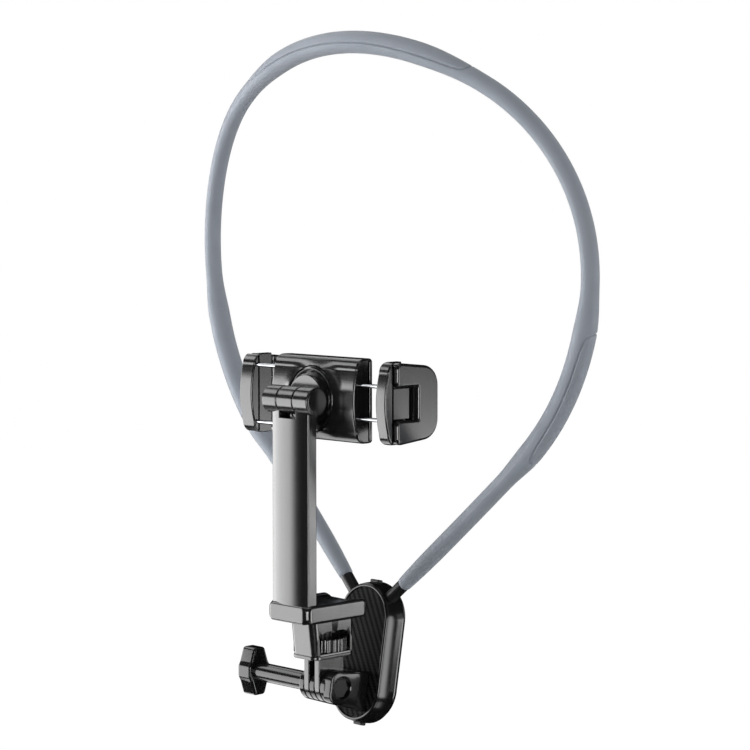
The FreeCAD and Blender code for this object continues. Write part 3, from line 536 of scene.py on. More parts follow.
@dataclass(frozen=True)
class Weave:
    """Satin twill weave: two yarns over, two under, one step on in each row."""

    name: str
    lean: float
    yarn: float = 0.9
    turn: float = -14.0
    crossed: float = 2.0
    over: Colour = (0.020, 0.020, 0.021)
    under: Colour = (0.003, 0.003, 0.0035)
    rough: Tuple[float, float] = (0.7, 0.5)
    specular: float = 0.06
    relief: float = 0.5
    relief_deep: float = 0.00025

    def material(self) -> bpy.types.Material:
        """Make the material; a cell is over where (column + row) mod 2n is below n yarns crossed."""
        graph = Graph(self.name)
        count = 1 / (self.yarn * MM)
        rotation = (math.radians(self.lean), math.radians(self.turn), 0)
        flat = graph.add("Mapping", {"Vector": graph.place()},
                         {"Rotation": rotation, "Scale": (count, count, count)})
        split = graph.add("SeparateXYZ", {0: flat.outputs["Vector"]})
        across, up = split.outputs["X"], split.outputs["Z"]

        def sums(operation: str, first: Socket, second: Optional[Socket] = None,
                 value: float = 0.0) -> Socket:
            """One arithmetic node on a socket and a socket or constant."""
            node = graph.add("Math", {0: first}, {1: value}, operation=operation)
            if second is not None:
                graph.tree.links.new(second, node.inputs[1])
            return node.outputs[0]

        step = sums("ADD", sums("FLOOR", across), sums("FLOOR", up))
        place = sums("FLOORED_MODULO", step, value=2 * self.crossed)
        over = sums("LESS_THAN", place, value=self.crossed)
        round_x, round_z = (sums("SINE", sums("MULTIPLY", sums("FRACT", way), value=math.pi))
                            for way in (across, up))
        height = graph.add("Mix", {"Factor": over, 2: round_x, 3: round_z}, data_type="FLOAT")
        graph.feed(Base_Color=graph.blend(over, self.under, self.over),
                   Roughness=graph.span(over, *self.rough),
                   Normal=graph.bump(height.outputs[0], self.relief, self.relief_deep))
        graph.fix(Specular_IOR_Level=self.specular)
        return graph.material


@dataclass
class Finishes:
    """The finishes of the part, one for each material slot of its record."""

    lean: float
    made: Dict[str, bpy.types.Material] = field(default_factory=dict)

    def build(self) -> None:
        """Make every material under the name of its slot."""
        recipes = (
            Moulded("soft_sleeve", (0.270, 0.298, 0.345), (0.33, 0.36, 0.41), (0.50, 0.62),
                    grain=0.08, grain_scale=1900.0, specular=0.42, sheen=0.25),
            Moulded("black_satin", (0.012, 0.012, 0.0125), (0.017, 0.017, 0.0175), (0.17, 0.21),
                    grain=0.03, grain_scale=2600.0, specular=0.9),
            Moulded("black_gloss", (0.008, 0.008, 0.0085), (0.012, 0.012, 0.0125), (0.14, 0.19),
                    grain=0.02, grain_scale=1800.0, specular=0.45, coat=0.15),
            Moulded("black_metal", (0.009, 0.009, 0.010), (0.014, 0.014, 0.015), (0.28, 0.36),
                    grain=0.03, grain_scale=3200.0, specular=0.28),
            Moulded("grip_rubber", (0.012, 0.012, 0.012), (0.018, 0.018, 0.018), (0.7, 0.85),
                    grain=0.4, grain_scale=1500.0, specular=0.06),
            Metal("spring_steel", (0.50, 0.50, 0.51), (0.25, 0.40)),
            Metal("chrome_rod", (0.42, 0.43, 0.45), (0.10, 0.18)),
            Weave("carbon_weave", self.lean),
        )
        self.made = {recipe.name: recipe.material() for recipe in recipes}

    def dress_frame(self) -> None:
        """Give every node of the frame the finish that its record names."""
        for row in frame["record"]["subparts"]:
            node = frame["nodes"][row["node"]]
            node.data.materials.clear()
            node.data.materials.append(self.made[row["material_slot"]])


# Places read from the frame, and pieces put into the scene


def joint_at(name: str) -> Array:
    """A joint's point, in millimetres."""
    return np.array(next(j for j in frame["joints"] if j["name"] == name)["pos_m"]) / MM


def mount(name: str) -> Tuple[Array, Array]:
    """A mount's point in millimetres and its direction."""
    spot = next(m for m in frame["record"]["mounts"] if m["name"] == name)
    return np.array(spot["pos_m"]) / MM, np.array(spot["axis"])


def corners_of(node: str) -> Tuple[Array, Array]:
    """A node's lowest and highest corners, in millimetres."""
    low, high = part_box(node)
    return np.array(low) / MM, np.array(high) / MM


def placed(name: str, data: bpy.types.ID) -> bpy.types.Object:
    """A new object that holds the data, linked to the scene."""
    item = bpy.data.objects.new(name, data)
    bpy.context.scene.collection.objects.link(item)
    return item


@dataclass
class Maker:
    """Makes a piece from a shape: mesh, finish, body and the nodes that it stands for."""

    finishes: Finishes
    weld: float = 1e-6

    def piece(self, name: str, shape: Shape, slot: str, body: str, nodes: Sequence[str] = (),
              sharp: float = 40.0) -> None:
        """Make one finished piece.

        Args:
            name: the piece's name.
            shape: its points and faces.
            slot: material slot of the record.
            body: body that it rides on.
            nodes: frame nodes that it stands for.
            sharp: edges over this angle stay crisp, in degrees.
        """
        mesh = bpy.data.meshes.new(name)
        mesh.from_pydata((shape.points * MM).tolist(), [], shape.faces)
        work = bmesh.new()
        work.from_mesh(mesh)
        bmesh.ops.remove_doubles(work, verts=work.verts, dist=self.weld)
        bmesh.ops.recalc_face_normals(work, faces=work.faces)
        work.to_mesh(mesh)
        work.free()
        mesh.polygons.foreach_set("use_smooth", np.ones(len(mesh.polygons), bool))
        mesh.set_sharp_from_angle(angle=math.radians(sharp))
        mesh.materials.append(self.finishes.made[slot])
        item = placed(name, mesh)
        even = item.modifiers.new("even_normals", "WEIGHTED_NORMAL")
        even.keep_sharp = True
        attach(item, body)
        if nodes:
            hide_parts(*nodes)
        LOG.info("%s: %d points on %s", name, len(mesh.vertices), body)


# The neck loop


@dataclass(frozen=True)
class Run:
    """Arc, or straight where its bend is 0, of the loop's right half seen from the front."""

    x: float
    z: float
    heading: float
    bend: float
    length: float


@dataclass(frozen=True)
class Panel:
    """Rounded panel on the sleeve: centre and half length along it, half angle and centre angle."""

    at: float
    half: float
    spread: float
    middle: float


@dataclass
class NeckLoop:
    """Soft sleeve bent in tangent arcs, swollen at nape and collar, with moulded panel grooves."""

    bends: Tuple[Tuple[float, float], ...] = ((135.0, 31.0), (79.0, 61.4), (103.0, 45.2))
    set_back: float = 25.0
    radius: float = 3.5
    nape_swell: float = 0.9
    nape_half: float = 70.0
    collar_swell: float = 1.1
    collar_half: float = 46.0
    collar_at: float = 206.0
    swell_flat: float = 0.55
    end_x: float = 16.2514
    end_taper: float = 0.65
    end_taper_long: float = 24.0
    end_roll: float = 0.5
    end_roll_long: float = 0.8
    lean: float = 9.6
    low_power: float = 2.0
    inside_z: float = -115.0
    panels: Tuple[Panel, ...] = (Panel(0.0, 63.0, 95.0, 0.0), Panel(206.5, 28.5, 95.0, 35.0))
    panel_power: float = 5.0
    groove_wide: float = 0.34
    groove_deep: float = 0.55
    stations: int = 620
    around: int = 44
    fine_along: float = 4.0
    fine_stations: int = 33
    fine_angle: float = 12.0
    fine_around: int = 13

    def runs(self) -> List[Run]:
        """Runs of the right half, from the nape to the pod."""
        x, z, heading = 0.0, self.radius + self.nape_swell, 0.0
        found = []
        for bend, turn in self.bends:
            angle = math.radians(turn)
            found.append(Run(x, z, heading, bend, bend * angle))
            x += bend * (math.sin(heading + angle) - math.sin(heading))
            z -= bend * (math.cos(heading) - math.cos(heading + angle))
            heading += angle
        found.append(Run(x, z, heading, 0.0, (x - self.end_x) / -math.cos(heading)))
        return found

    def distances(self, half: float) -> Array:
        """Distances of the stations from the nape, closer together at the panels' ends."""
        even = np.linspace(-half, half, self.stations)
        ends = [panel.at + end * panel.half for panel in self.panels for end in (-1, 1)]
        fine = np.linspace(-self.fine_along, self.fine_along, self.fine_stations)
        near = [sign * spot + fine for spot in ends if spot > 0 for sign in (-1, 1)]
        return np.unique(np.concatenate([even, *near]))

    def line(self) -> Tuple[Array, Array]:
        """Centre line of the whole loop.

        On an arc of bend b, x grows by b (sin a - sin h) and z falls by b (cos h - cos a), where the
        heading a is h plus the distance over b. The set back is an arch in z: cubic towards the nape
        and a square towards the pod, so that it ends at the pod's lean.

        Returns:
            Distances from the nape, negative on the left, and points of shape (n, 3).
        """
        runs = self.runs()
        away = self.distances(sum(run.length for run in runs))
        rest = np.abs(away)
        x, z = np.zeros_like(away), np.zeros_like(away)
        start = 0.0
        for run in runs:
            on = (rest >= start - TINY) & (rest <= start + run.length + TINY)
            part = rest[on] - start
            if run.bend:
                angle = run.heading + part / run.bend
                x[on] = run.x + run.bend * (np.sin(angle) - math.sin(run.heading))
                z[on] = run.z - run.bend * (math.cos(run.heading) - np.cos(angle))
            else:
                x[on] = run.x + part * math.cos(run.heading)
                z[on] = run.z - part * math.sin(run.heading)
            start += run.length
        back_z = (runs[-2].z + runs[-1].z) / 2
        low_z = z.min()
        bow = math.tan(math.radians(self.lean)) * (back_z - low_z) / self.low_power
        upper = np.clip((z - back_z) / (z.max() - back_z), 0, 1)
        lower = np.clip((back_z - z) / (back_z - low_z), 0, 1)
        y = self.set_back * (1 - upper ** 3) - bow * lower ** self.low_power
        return away, np.stack([np.copysign(x, away), y, z], 1)

    def swell(self, away: Array, at: float, half: float) -> Array:
        """Swelling from 0 to 1: a raised cosine with a flat middle over a share of its half length."""
        share = np.abs(np.abs(away) - at) / half
        fall = np.clip((share - self.swell_flat) / (1 - self.swell_flat), 0, 1)
        return np.where(share < 1, 0.5 + 0.5 * np.cos(math.pi * fall), 0.0)

    def groove(self, away: Array, angle: Array, panel: Panel, size: Array) -> Array:
        """Depth of a groove round a rounded panel on the sleeve.

        The panel is a superellipse of power p in distance and angle; the groove is a bell of the
        distance to its border, which is (q - 1) over the length of q's gradient.

        Args:
            away: distances along the loop.
            angle: angles round the section, 0 outwards.
            panel: the panel, with its angles in degrees.
            size: sleeve radius at each distance.

        Returns:
            Depths of shape (distances, angles).
        """
        power, spread = self.panel_power, math.radians(panel.spread)
        u = (np.abs(away) - panel.at)[:, None] / panel.half
        turn = angle - math.radians(panel.middle)
        v = ((turn + math.pi) % FULL_TURN - math.pi)[None] / spread
        q = (np.abs(u) ** power + np.abs(v) ** power) ** (1 / power)
        safe = np.maximum(q, 1e-6)
        du = (np.abs(u) / safe) ** (power - 1) / panel.half
        dv = (np.abs(v) / safe) ** (power - 1) / (spread * size[:, None])
        near = (q - 1) / np.maximum(np.hypot(du, dv), 1e-6)
        return self.groove_deep * np.exp(-((near / self.groove_wide) ** 2))

    def build(self, maker: Maker) -> None:
        """Sweep a round section along the loop and press the panel grooves into it."""
        away, centre = self.line()
        tangent = unit(np.gradient(centre, axis=0))
        out = np.cross(tangent, np.array([0.0, -1.0, 0.0]))
        inside = np.array([0.0, 0.0, self.inside_z])
        out = unit(out * np.sign(np.sum(out * (centre - inside), 1, keepdims=True)))
        side = np.cross(out, tangent)
        side *= np.sign(side[:, 1:2])
        end = np.minimum(away - away[0], away[-1] - away)
        size = self.radius + self.nape_swell * self.swell(away, 0, self.nape_half)
        size = size + self.collar_swell * self.swell(away, self.collar_at, self.collar_half)
        size = size - self.end_taper * np.clip(1 - end / self.end_taper_long, 0, 1) ** 2
        even = np.linspace(-180.0, 180.0, self.around, endpoint=False)
        fine = np.linspace(-self.fine_angle, self.fine_angle, self.fine_around)
        near = [panel.middle + way * panel.spread + fine for panel in self.panels for way in (-1, 1)]
        angle = np.radians(np.unique(np.round(np.concatenate([even, *near]), 3)))
        reach = size[:, None] - sum(self.groove(away, angle, panel, size) for panel in self.panels)
        reach = reach - self.end_roll * np.clip(1 - end[:, None] / self.end_roll_long, 0, 1) ** 2
        cosine, sine = np.cos(angle)[None, :, None], np.sin(angle)[None, :, None]
        ring = cosine * out[:, None] + sine * side[:, None]
        points = (centre[:, None] + reach[..., None] * ring).reshape(-1, 3)
        count = len(angle)
        faces = bands(len(away), count) + [lid(0, count), lid(len(away) - 1, count)]
        maker.piece("sleeve", Shape(points, faces), "soft_sleeve", "neck", ["neck_sleeve"], 60)


# The pod and what it carries


@dataclass
class Pod:
    """Upright capsule in two shells with a woven face, and the three-prong fork on it."""

    wide: float = 29.5
    tall: float = 57.2
    thick: float = 11.2
    split: float = 8.0
    shoulder: float = 0.9
    edge: float = 1.6
    rim: float = 2.4
    lip: float = 0.45
    recess: float = 1.2
    bulge: float = 0.9
    groove_deep: float = 0.3
    groove_floor: float = 0.1
    groove_half: float = 0.35
    plate_play: float = 0.1
    plate_front: float = 0.3
    plate_edge: float = 0.3
    reach: float = 17.0
    bed: float = 0.3
    prong: float = 6.7
    prong_thick: float = 2.9
    prong_gap: float = 3.2
    prong_edge: float = 0.5
    drop: float = 9.4
    root_gap: float = 0.7
    root_shy: float = 0.05
    root_shy_side: float = 0.06
    boss: float = 6.4
    boss_rear: float = 9.4
    boss_height: float = 3.2
    boss_corners: Tuple[float, ...] = (4.0, 1.6, 1.6, 4.0)
    hole: float = 4.5
    hole_deep: float = 1.6
    nut_radius: float = 4.1
    button_y: float = 5.2

    @property
    def pin(self) -> Array:
        """y and z of the fork's pin in the pod's own frame."""
        return np.array([-self.reach, -(self.tall - self.wide) / 2])

    def frame_of(self) -> Tuple[Array, Array]:
        """The pod's turn and the point at its face centre."""
        rear, normal = mount("chest_face")
        cosine, sine = normal[1], normal[2]
        turn = np.array([[1, 0, 0], [0, cosine, -sine], [0, sine, cosine]])
        return turn, rear - normal * self.thick

    def shells(self) -> Tuple[Shape, Shape, Shape]:
        """Front shell with its rim, rear shell and face plate.

        The wall is a capsule outline carried along a profile: up the recess, over the rim, round the
        edge by a quarter circle and back to a fine parting groove. Its inset is b (1 - t)^2 before the
        groove and b t^2 behind it, where t runs from 0 to 1 along each stretch.

        Returns:
            Front shell, rear shell and plate, in the pod's own frame.
        """
        line = capsule_line(self.wide, self.tall)
        lip, bulge, edge, split, shoulder = self.lip, self.bulge, self.edge, self.split, self.shoulder
        deep, floor = self.groove_deep, self.groove_floor
        before, behind = split - self.groove_half, split + self.groove_half
        turn = np.linspace(0, QUARTER_TURN, 9)
        draft = np.linspace(0, 1, 12)[1:]
        bead = np.stack([self.rim - lip + lip * np.cos(turn), lip - lip * np.sin(turn)], 1)
        front_edge = np.stack([bulge + shoulder * (1 - np.sin(turn)), shoulder * (1 - np.cos(turn))], 1)
        side = np.stack([bulge * (1 - draft) ** 2, shoulder + (before - shoulder) * draft], 1)
        front = np.concatenate([[[self.rim, self.recess]], bead, front_edge, side,
                                [[deep, split - floor], [deep, split]]])
        wall = np.stack([bulge * draft ** 2, behind + (self.thick - edge - behind) * draft], 1)
        turn = turn[1:]
        rear_edge = np.stack([bulge + edge * (1 - np.cos(turn)), self.thick - edge * (1 - np.sin(turn))], 1)
        rear = np.concatenate([[[deep, split], [deep, split + floor], [0, behind]], wall, rear_edge])
        inset = 2 * (self.rim + self.plate_play)
        outline = capsule_line(self.wide - inset, self.tall - inset)
        plate = slab(outline, self.plate_front, self.recess, self.plate_edge, Axis.Y)
        return carry(line, front, Axis.Y), carry(line, rear, Axis.Y), plate

    def fork(self) -> Shape:
        """Root block, three rounded prongs and the nut boss; the underside touches the prongs' round."""
        pin_y, pin_z = self.pin
        r, bed, small = self.prong, self.bed, 0.3
        run = bed - pin_y
        touch = math.atan2(-self.drop, run) - math.acos(r / math.hypot(run, self.drop))
        slope = -math.cos(touch) / math.sin(touch)
        tip, under, over = pin_y - r, pin_z - self.drop, pin_z + r
        full = r * 0.999
        cheek = soften([(bed, under), (bed, over), (tip, over), (tip, under + slope * (tip - bed))],
                       [small, small, full, full], steps=14)
        step, thick = self.prong_thick + self.prong_gap, self.prong_thick / 2
        prongs = [slab(cheek, x - thick, x + thick, self.prong_edge, Axis.X) for x in (-step, 0.0, step)]
        half = step + thick
        near = pin_y + r + self.root_gap
        under, over = under + self.root_shy, over - self.root_shy
        block = soften([(near, under + slope * (near - bed)), (bed, under), (bed, over), (near, over)], small)
        side = half - self.root_shy_side
        root = slab(block, -side, side, self.prong_edge, Axis.X)
        return root.joined(*prongs, self.nut_boss(half))

    def nut_boss(self, start: float) -> Shape:
        """Square boss with a round recess on the right cheek.

        Args:
            start: x of the cheek's face.

        Returns:
            The boss, open towards the cheek.
        """
        pin, b = self.pin, self.boss
        square = box_line(pin[0] - b, pin[1] - b, pin[0] + self.boss_rear, pin[1] + b,
                          self.boss_corners, steps=8)
        angle = even_angles(72)
        rim = by_angle(square, pin, angle, 0.2)
        hole = pin + self.hole * circle(angle)
        top = start + self.boss_height
        rows = ((rim, 0.0, start - 0.5), (rim, 0.0, top - 0.6), (rim, 0.2, top - 0.2), (rim, 0.7, top),
                (hole, -0.3, top), (hole, 0.0, top - 0.3), (hole, 0.0, top - self.hole_deep))
        rings = [Axis.X.stack(line - inset * unit(line - pin), np.array(height))
                 for line, inset, height in rows]
        faces = bands(len(rows), len(angle)) + [lid(len(rows) - 1, len(angle))]
        return Shape(np.concatenate(rings), faces)

    def nut(self) -> Shape:
        """Face of the nut at the bottom of the boss's recess."""
        line = soften(self.pin + self.nut_radius * circle(even_angles(6)), 0.3, steps=3)
        start = self.prong_gap + 1.5 * self.prong_thick
        return slab(line, start + 1.0, start + self.boss_height - 1.1, 0.25, Axis.X)

    def build(self, maker: Maker) -> None:
        """Make the shells, the plate, the fork with its nut and the end buttons."""
        turn, at = self.frame_of()
        front, rear, plate = self.shells()
        for name, shape, slot, node in (("pod_front", front, "black_gloss", "pod_front_shell"),
                                        ("pod_rear", rear, "black_gloss", "pod_rear_shell"),
                                        ("pod_face", plate, "carbon_weave", "face_plate"),
                                        ("pod_fork", self.fork(), "black_gloss", "fork"),
                                        ("pod_nut", self.nut(), "black_metal", "fork_nut")):
            maker.piece(name, shape.turned(turn, at), slot, "neck", [node])
        outline = capsule_line(2.6, 6.0, 0.3)[:, ::-1]
        button = carry(outline, rolled(-0.6, 0.8, 0.5), Axis.Z).moved((0, self.button_y, self.tall / 2))
        for name, sign in (("pod_button_top", 1.0), ("pod_button_low", -1.0)):
            local = Shape(button.points * np.array([1, 1, sign]), button.faces)
            maker.piece(name, local.turned(turn, at), "black_metal", "neck")


@dataclass
class ThumbScrew:
    """Turned screw with a collar at the fork and a two-winged knob."""

    fork_half: float = 7.55
    play: float = 0.15
    shank: float = 30.5
    shank_radius: float = 3.8
    cone_from: float = 2.1
    cone_to: float = 1.3
    collar: float = 5.2
    collar_long: float = 1.1
    screw: float = 2.5
    screw_end: float = 9.6
    knob_deep: float = 3.0
    knob_thick: float = 6.5
    knob_swell: float = 1.4
    knob_edge: float = 1.2
    knob_core: float = 5.6
    wing_tip: float = 2.7
    wing_reach: float = 9.8

    def build(self, maker: Maker) -> None:
        """Turn the screw and carry the knob's edge round its lobes."""
        pin = joint_at("thumb_screw_turn")
        left = -self.fork_half - self.play
        start = left - self.shank
        shank, collar, screw = self.shank_radius, self.collar, self.screw
        rows = ((NEAR_AXIS, start - self.knob_deep, 0.0), (shank, start - self.knob_deep, 0.35),
                (shank, left - self.cone_from, 0.5), (collar - 0.15, left - self.cone_to, 0.3),
                (collar, left - self.collar_long, 0.2), (collar, left, 0.3), (screw, left, 0.2),
                (screw, self.screw_end, 0.35), (NEAR_AXIS, self.screw_end, 0.0))
        turned = spun(rows, Axis.X, steps=4)
        maker.piece("screw", turned.moved(pin), "black_gloss", "screw", ["thumb_screw"])
        maker.piece("knob", self.knob(start).moved(pin), "black_gloss", "screw", ["thumb_knob"])

    def knob(self, start: float) -> Shape:
        """Winged knob: an upright outline, narrow at both tips and full at the hub, with rolled edges.

        Args:
            start: x of the knob's face towards the fork.

        Returns:
            The knob round the screw's axis.
        """
        quarter = np.array([[self.wing_tip, self.wing_reach], [4.6, 3.9], [self.knob_core, 2.2]])
        right = np.concatenate([quarter, quarter[::-1] * np.array([1.0, -1.0])])
        corners = np.concatenate([right, -right])
        line = soften(corners, np.tile([1.5, 2.2, 2.2, 2.2, 2.2, 1.5], 2), steps=9)
        end = start - self.knob_thick - self.knob_swell
        return carry(line, rolled(end, start, self.knob_edge, 6), Axis.X)


# The adapter, its wheel, the base plate and the arm


@dataclass
class Adapter:
    """Two prongs under a tapered block whose window shows a ribbed wheel."""

    rise: float = 13.6
    flange: float = 1.5
    tall: float = 13.7
    wide: float = 14.0
    front: float = 12.0
    rear: float = 11.0
    taper: float = 1.8
    edge: float = 3.0
    lip: float = 0.25
    lip_front: float = 0.5
    window: float = 9.0
    arch_rise: float = 2.6
    arch_run: float = 4.0
    prong: float = 6.7
    prong_thick: float = 2.9
    prong_play: float = 0.15
    stud: float = -0.6
    wheel_radius: float = 9.4
    wheel_tall: float = 5.4
    wheel_lift: float = 0.6
    wheel_under: float = 0.3
    wheel_over: float = 0.6
    ribs: int = 24
    rib_half: float = 0.45
    rib_flat: float = 2.5

    @property
    def low(self) -> float:
        """Height of the block's lower edge above the fork's pin."""
        return self.rise - self.flange

    def block(self) -> Shape:
        """Tapered block with round upright edges and an arched window through it.

        Each ring is the block's side outline, drawn in towards the stud by the rolled edge's inset as
        a share of its half depth, so that only the upright edges are rounded.

        Returns:
            The block round the fork's pin.
        """
        top = self.rise + self.tall
        front, rear = self.stud - self.front, self.stud + self.rear
        outer = np.array([(front + self.taper, self.low), (rear, self.low), (rear, top), (front, top)])
        sill = self.rise + self.wheel_lift - self.wheel_under
        spring = sill + self.wheel_tall + self.wheel_over
        arch = spring + self.arch_rise
        run = self.window - self.arch_run
        inner = soften([(self.stud - self.window, sill), (self.stud + self.window, sill),
                        (self.stud + self.window, spring), (self.stud + run, arch),
                        (self.stud - run, arch), (self.stud - self.window, spring)],
                       [0.3, 0.3, 2.2, 5.0, 5.0, 2.2], steps=10)
        return framed(outer, inner, rolled(-self.wide / 2, self.wide / 2, self.edge, 9), Axis.X, 360)

    def build(self, maker: Maker) -> None:
        """Make the block with its lip and prongs, the wheel and the stud."""
        pin = joint_at("fork_tilt")
        low, r = self.low, self.prong
        half = self.wide / 2 + self.lip
        front = self.stud - self.front + self.taper - self.lip_front
        plan = box_line(-half, front, half, self.stud + self.rear, 3.2)
        lip = slab(plan, low - 0.4, low + 1.1, 0.35, Axis.Z)
        root, round_end = low + 0.5, r - 0.01
        tongue = soften([(r, root), (-r, root), (-r, -r), (r, -r)],
                        [0.3, 0.3, round_end, round_end], steps=14)
        inner = self.prong_thick / 2 + self.prong_play
        outer = inner + self.prong_thick
        tongues = [slab(tongue, x0, x1, 0.45, Axis.X) for x0, x1 in ((inner, outer), (-outer, -inner))]
        block = self.block().joined(lip, *tongues)
        maker.piece("adapter_block", block.moved(pin), "black_satin", "adapter", ["adapter"])
        maker.piece("wheel", self.wheel().moved(pin), "black_satin", "wheel", ["thumb_wheel"])
        foot, tip = corners_of("lock_stud")
        stud = turned_rod((tip[0] - foot[0]) / 2, foot[2], tip[2], 0.4, Axis.Z)
        centre = (foot + tip) / 2 * np.array([1, 1, 0])
        maker.piece("stud", stud.moved(centre), "black_metal", "wheel", ["lock_stud"])

    def wheel(self) -> Shape:
        """Ribbed wheel: r = mean + half a rib times a flat-topped wave of one turn for each rib."""
        angle = even_angles(self.ribs * 12)
        wave = np.tanh(self.rib_flat * np.cos(self.ribs * angle))
        reach = self.wheel_radius - self.rib_half + self.rib_half * wave
        line = np.array([0.0, self.stud]) + reach[:, None] * circle(angle)
        low = self.rise + self.wheel_lift
        return slab(line, low, low + self.wheel_tall, 0.4, Axis.Z)


@dataclass
class Arm:
    """Base plate with a bevelled rear, and an upright blade that ends in a split barrel."""

    base_wide: float = 24.0
    base_front: float = 19.4
    base_rear: float = 14.6
    base_tall: float = 7.3
    base_bevel: float = 3.4
    base_edge: float = 0.9
    base_corner: float = 1.4
    base_corners: Tuple[float, ...] = (3.2, 3.2, 4.0, 4.0)
    bevel_foot: float = 2.0
    wide: float = 21.0
    back: float = 2.5
    front: float = 4.1
    crown: float = 2.0
    front_round: float = 0.8
    back_round: float = 0.7
    notch_round: float = 0.2
    blade_edge: float = 0.25
    forward: float = 15.1
    barrel_rise: float = 79.7
    barrel: float = 5.5
    barrel_long: float = 26.0
    barrel_edge: float = 0.5
    knuckle: float = 8.8
    play: float = 0.3
    cap_in: float = 0.9
    cap_deep: float = 0.25

    def section(self, x0: float, x1: float) -> Array:
        """Plan of the blade between two x.

        The back is flat and the front crowned by c (x / half) squared. The corners are round, so
        the front's points next to them are left out.

        Args:
            x0: lower x.
            x1: higher x.

        Returns:
            The plan's outline.
        """
        half = self.wide / 2
        x = np.delete(np.linspace(x0, x1, 25), [1, 2, -3, -2])
        y = -self.forward - self.front + self.crown * (x / half) ** 2
        back = -self.forward + self.back
        ring = np.concatenate([np.stack([x, y], 1), [[x1, back], [x0, back]]])
        radius = np.zeros(len(ring))
        radius[[0, len(x) - 1]] = self.front_round
        radius[[-1, -2]] = self.back_round
        at_notch = np.abs(ring[:, 0]) < half - 0.01
        radius[at_notch & (radius > 0)] = self.notch_round
        return soften(ring, radius)

    def plate(self, plan: Array) -> Shape:
        """Base plate whose edge roll grows at its upright corners, with a bevelled rear.

        At height h from the nearer face the inset is R - sqrt(R^2 - (R - h)^2) for h below R, where R
        rises from the edge's roll on the flats to the corner's roll by twice the product of the
        normal's two parts. Behind the bevel's start the top falls by as much as y grows.

        Args:
            plan: the plate's outline.

        Returns:
            The plate from z = 0 up.
        """
        normal = outward(plan)[1]
        roll = self.base_edge + self.base_corner * np.abs(2 * normal[:, 0] * normal[:, 1])
        turn = np.linspace(0, QUARTER_TURN, 13)
        rise = (self.base_edge + self.base_corner) * (1 - np.cos(turn))
        height = np.concatenate([rise, self.base_tall - rise[::-1]])
        short = np.maximum(roll[None] - np.minimum(height, self.base_tall - height)[:, None], 0.0)
        dent = roll[None] - np.sqrt(np.maximum(roll[None] ** 2 - short ** 2, 0.0))
        shape = carry(plan, np.stack([np.zeros(len(height)), height], 1), Axis.Z, dent=dent)
        points = shape.points.copy()
        slope = self.base_tall - np.maximum(points[:, 1] - (self.base_rear - self.base_bevel), 0)
        points[:, 2] = np.minimum(points[:, 2], np.maximum(slope, self.bevel_foot))
        return Shape(points, shape.faces)

    def build(self, maker: Maker) -> None:
        """Make the base plate and the arm."""
        stand = joint_at("arm_swivel")
        half = self.base_wide / 2
        plan = box_line(-half, -self.base_front, half, self.base_rear, self.base_corners, steps=10)
        maker.piece("base", self.plate(plan).moved(stand), "black_satin", "arm", ["base_plate"])
        top = self.base_tall + self.barrel_rise
        notch = self.knuckle / 2 + self.play
        foot = self.base_tall - 2.0
        ear_low = top - self.barrel - 1.3
        half, long = self.wide / 2, self.barrel_long / 2
        blade = slab(self.section(-half, half), foot, ear_low, self.blade_edge, Axis.Z)
        ears = [slab(self.section(x0, x1), ear_low - 0.6, top, self.blade_edge, Axis.Z)
                for x0, x1 in ((-half, -notch), (notch, half))]
        knuckles = [turned_rod(self.barrel, x0, x1, self.barrel_edge, Axis.X)
                    for x0, x1 in ((-long, -notch), (notch, long))]
        r, deep = self.barrel - self.cap_in, self.cap_deep
        caps = [lathe(np.array([[r, x], [r, x + way * 0.18], [r - 0.2, x + way * deep],
                                [0.3, x + way * deep]]), Axis.X)
                for x, way in ((-long, -1.0), (long, 1.0))]
        barrel = [shape.moved((0, -self.forward, top)) for shape in knuckles + caps]
        upright = blade.joined(*ears, *barrel)
        maker.piece("upright", upright.moved(stand), "black_satin", "arm", ["arm", "tilt_pin"])


# The swivel head and the clamp


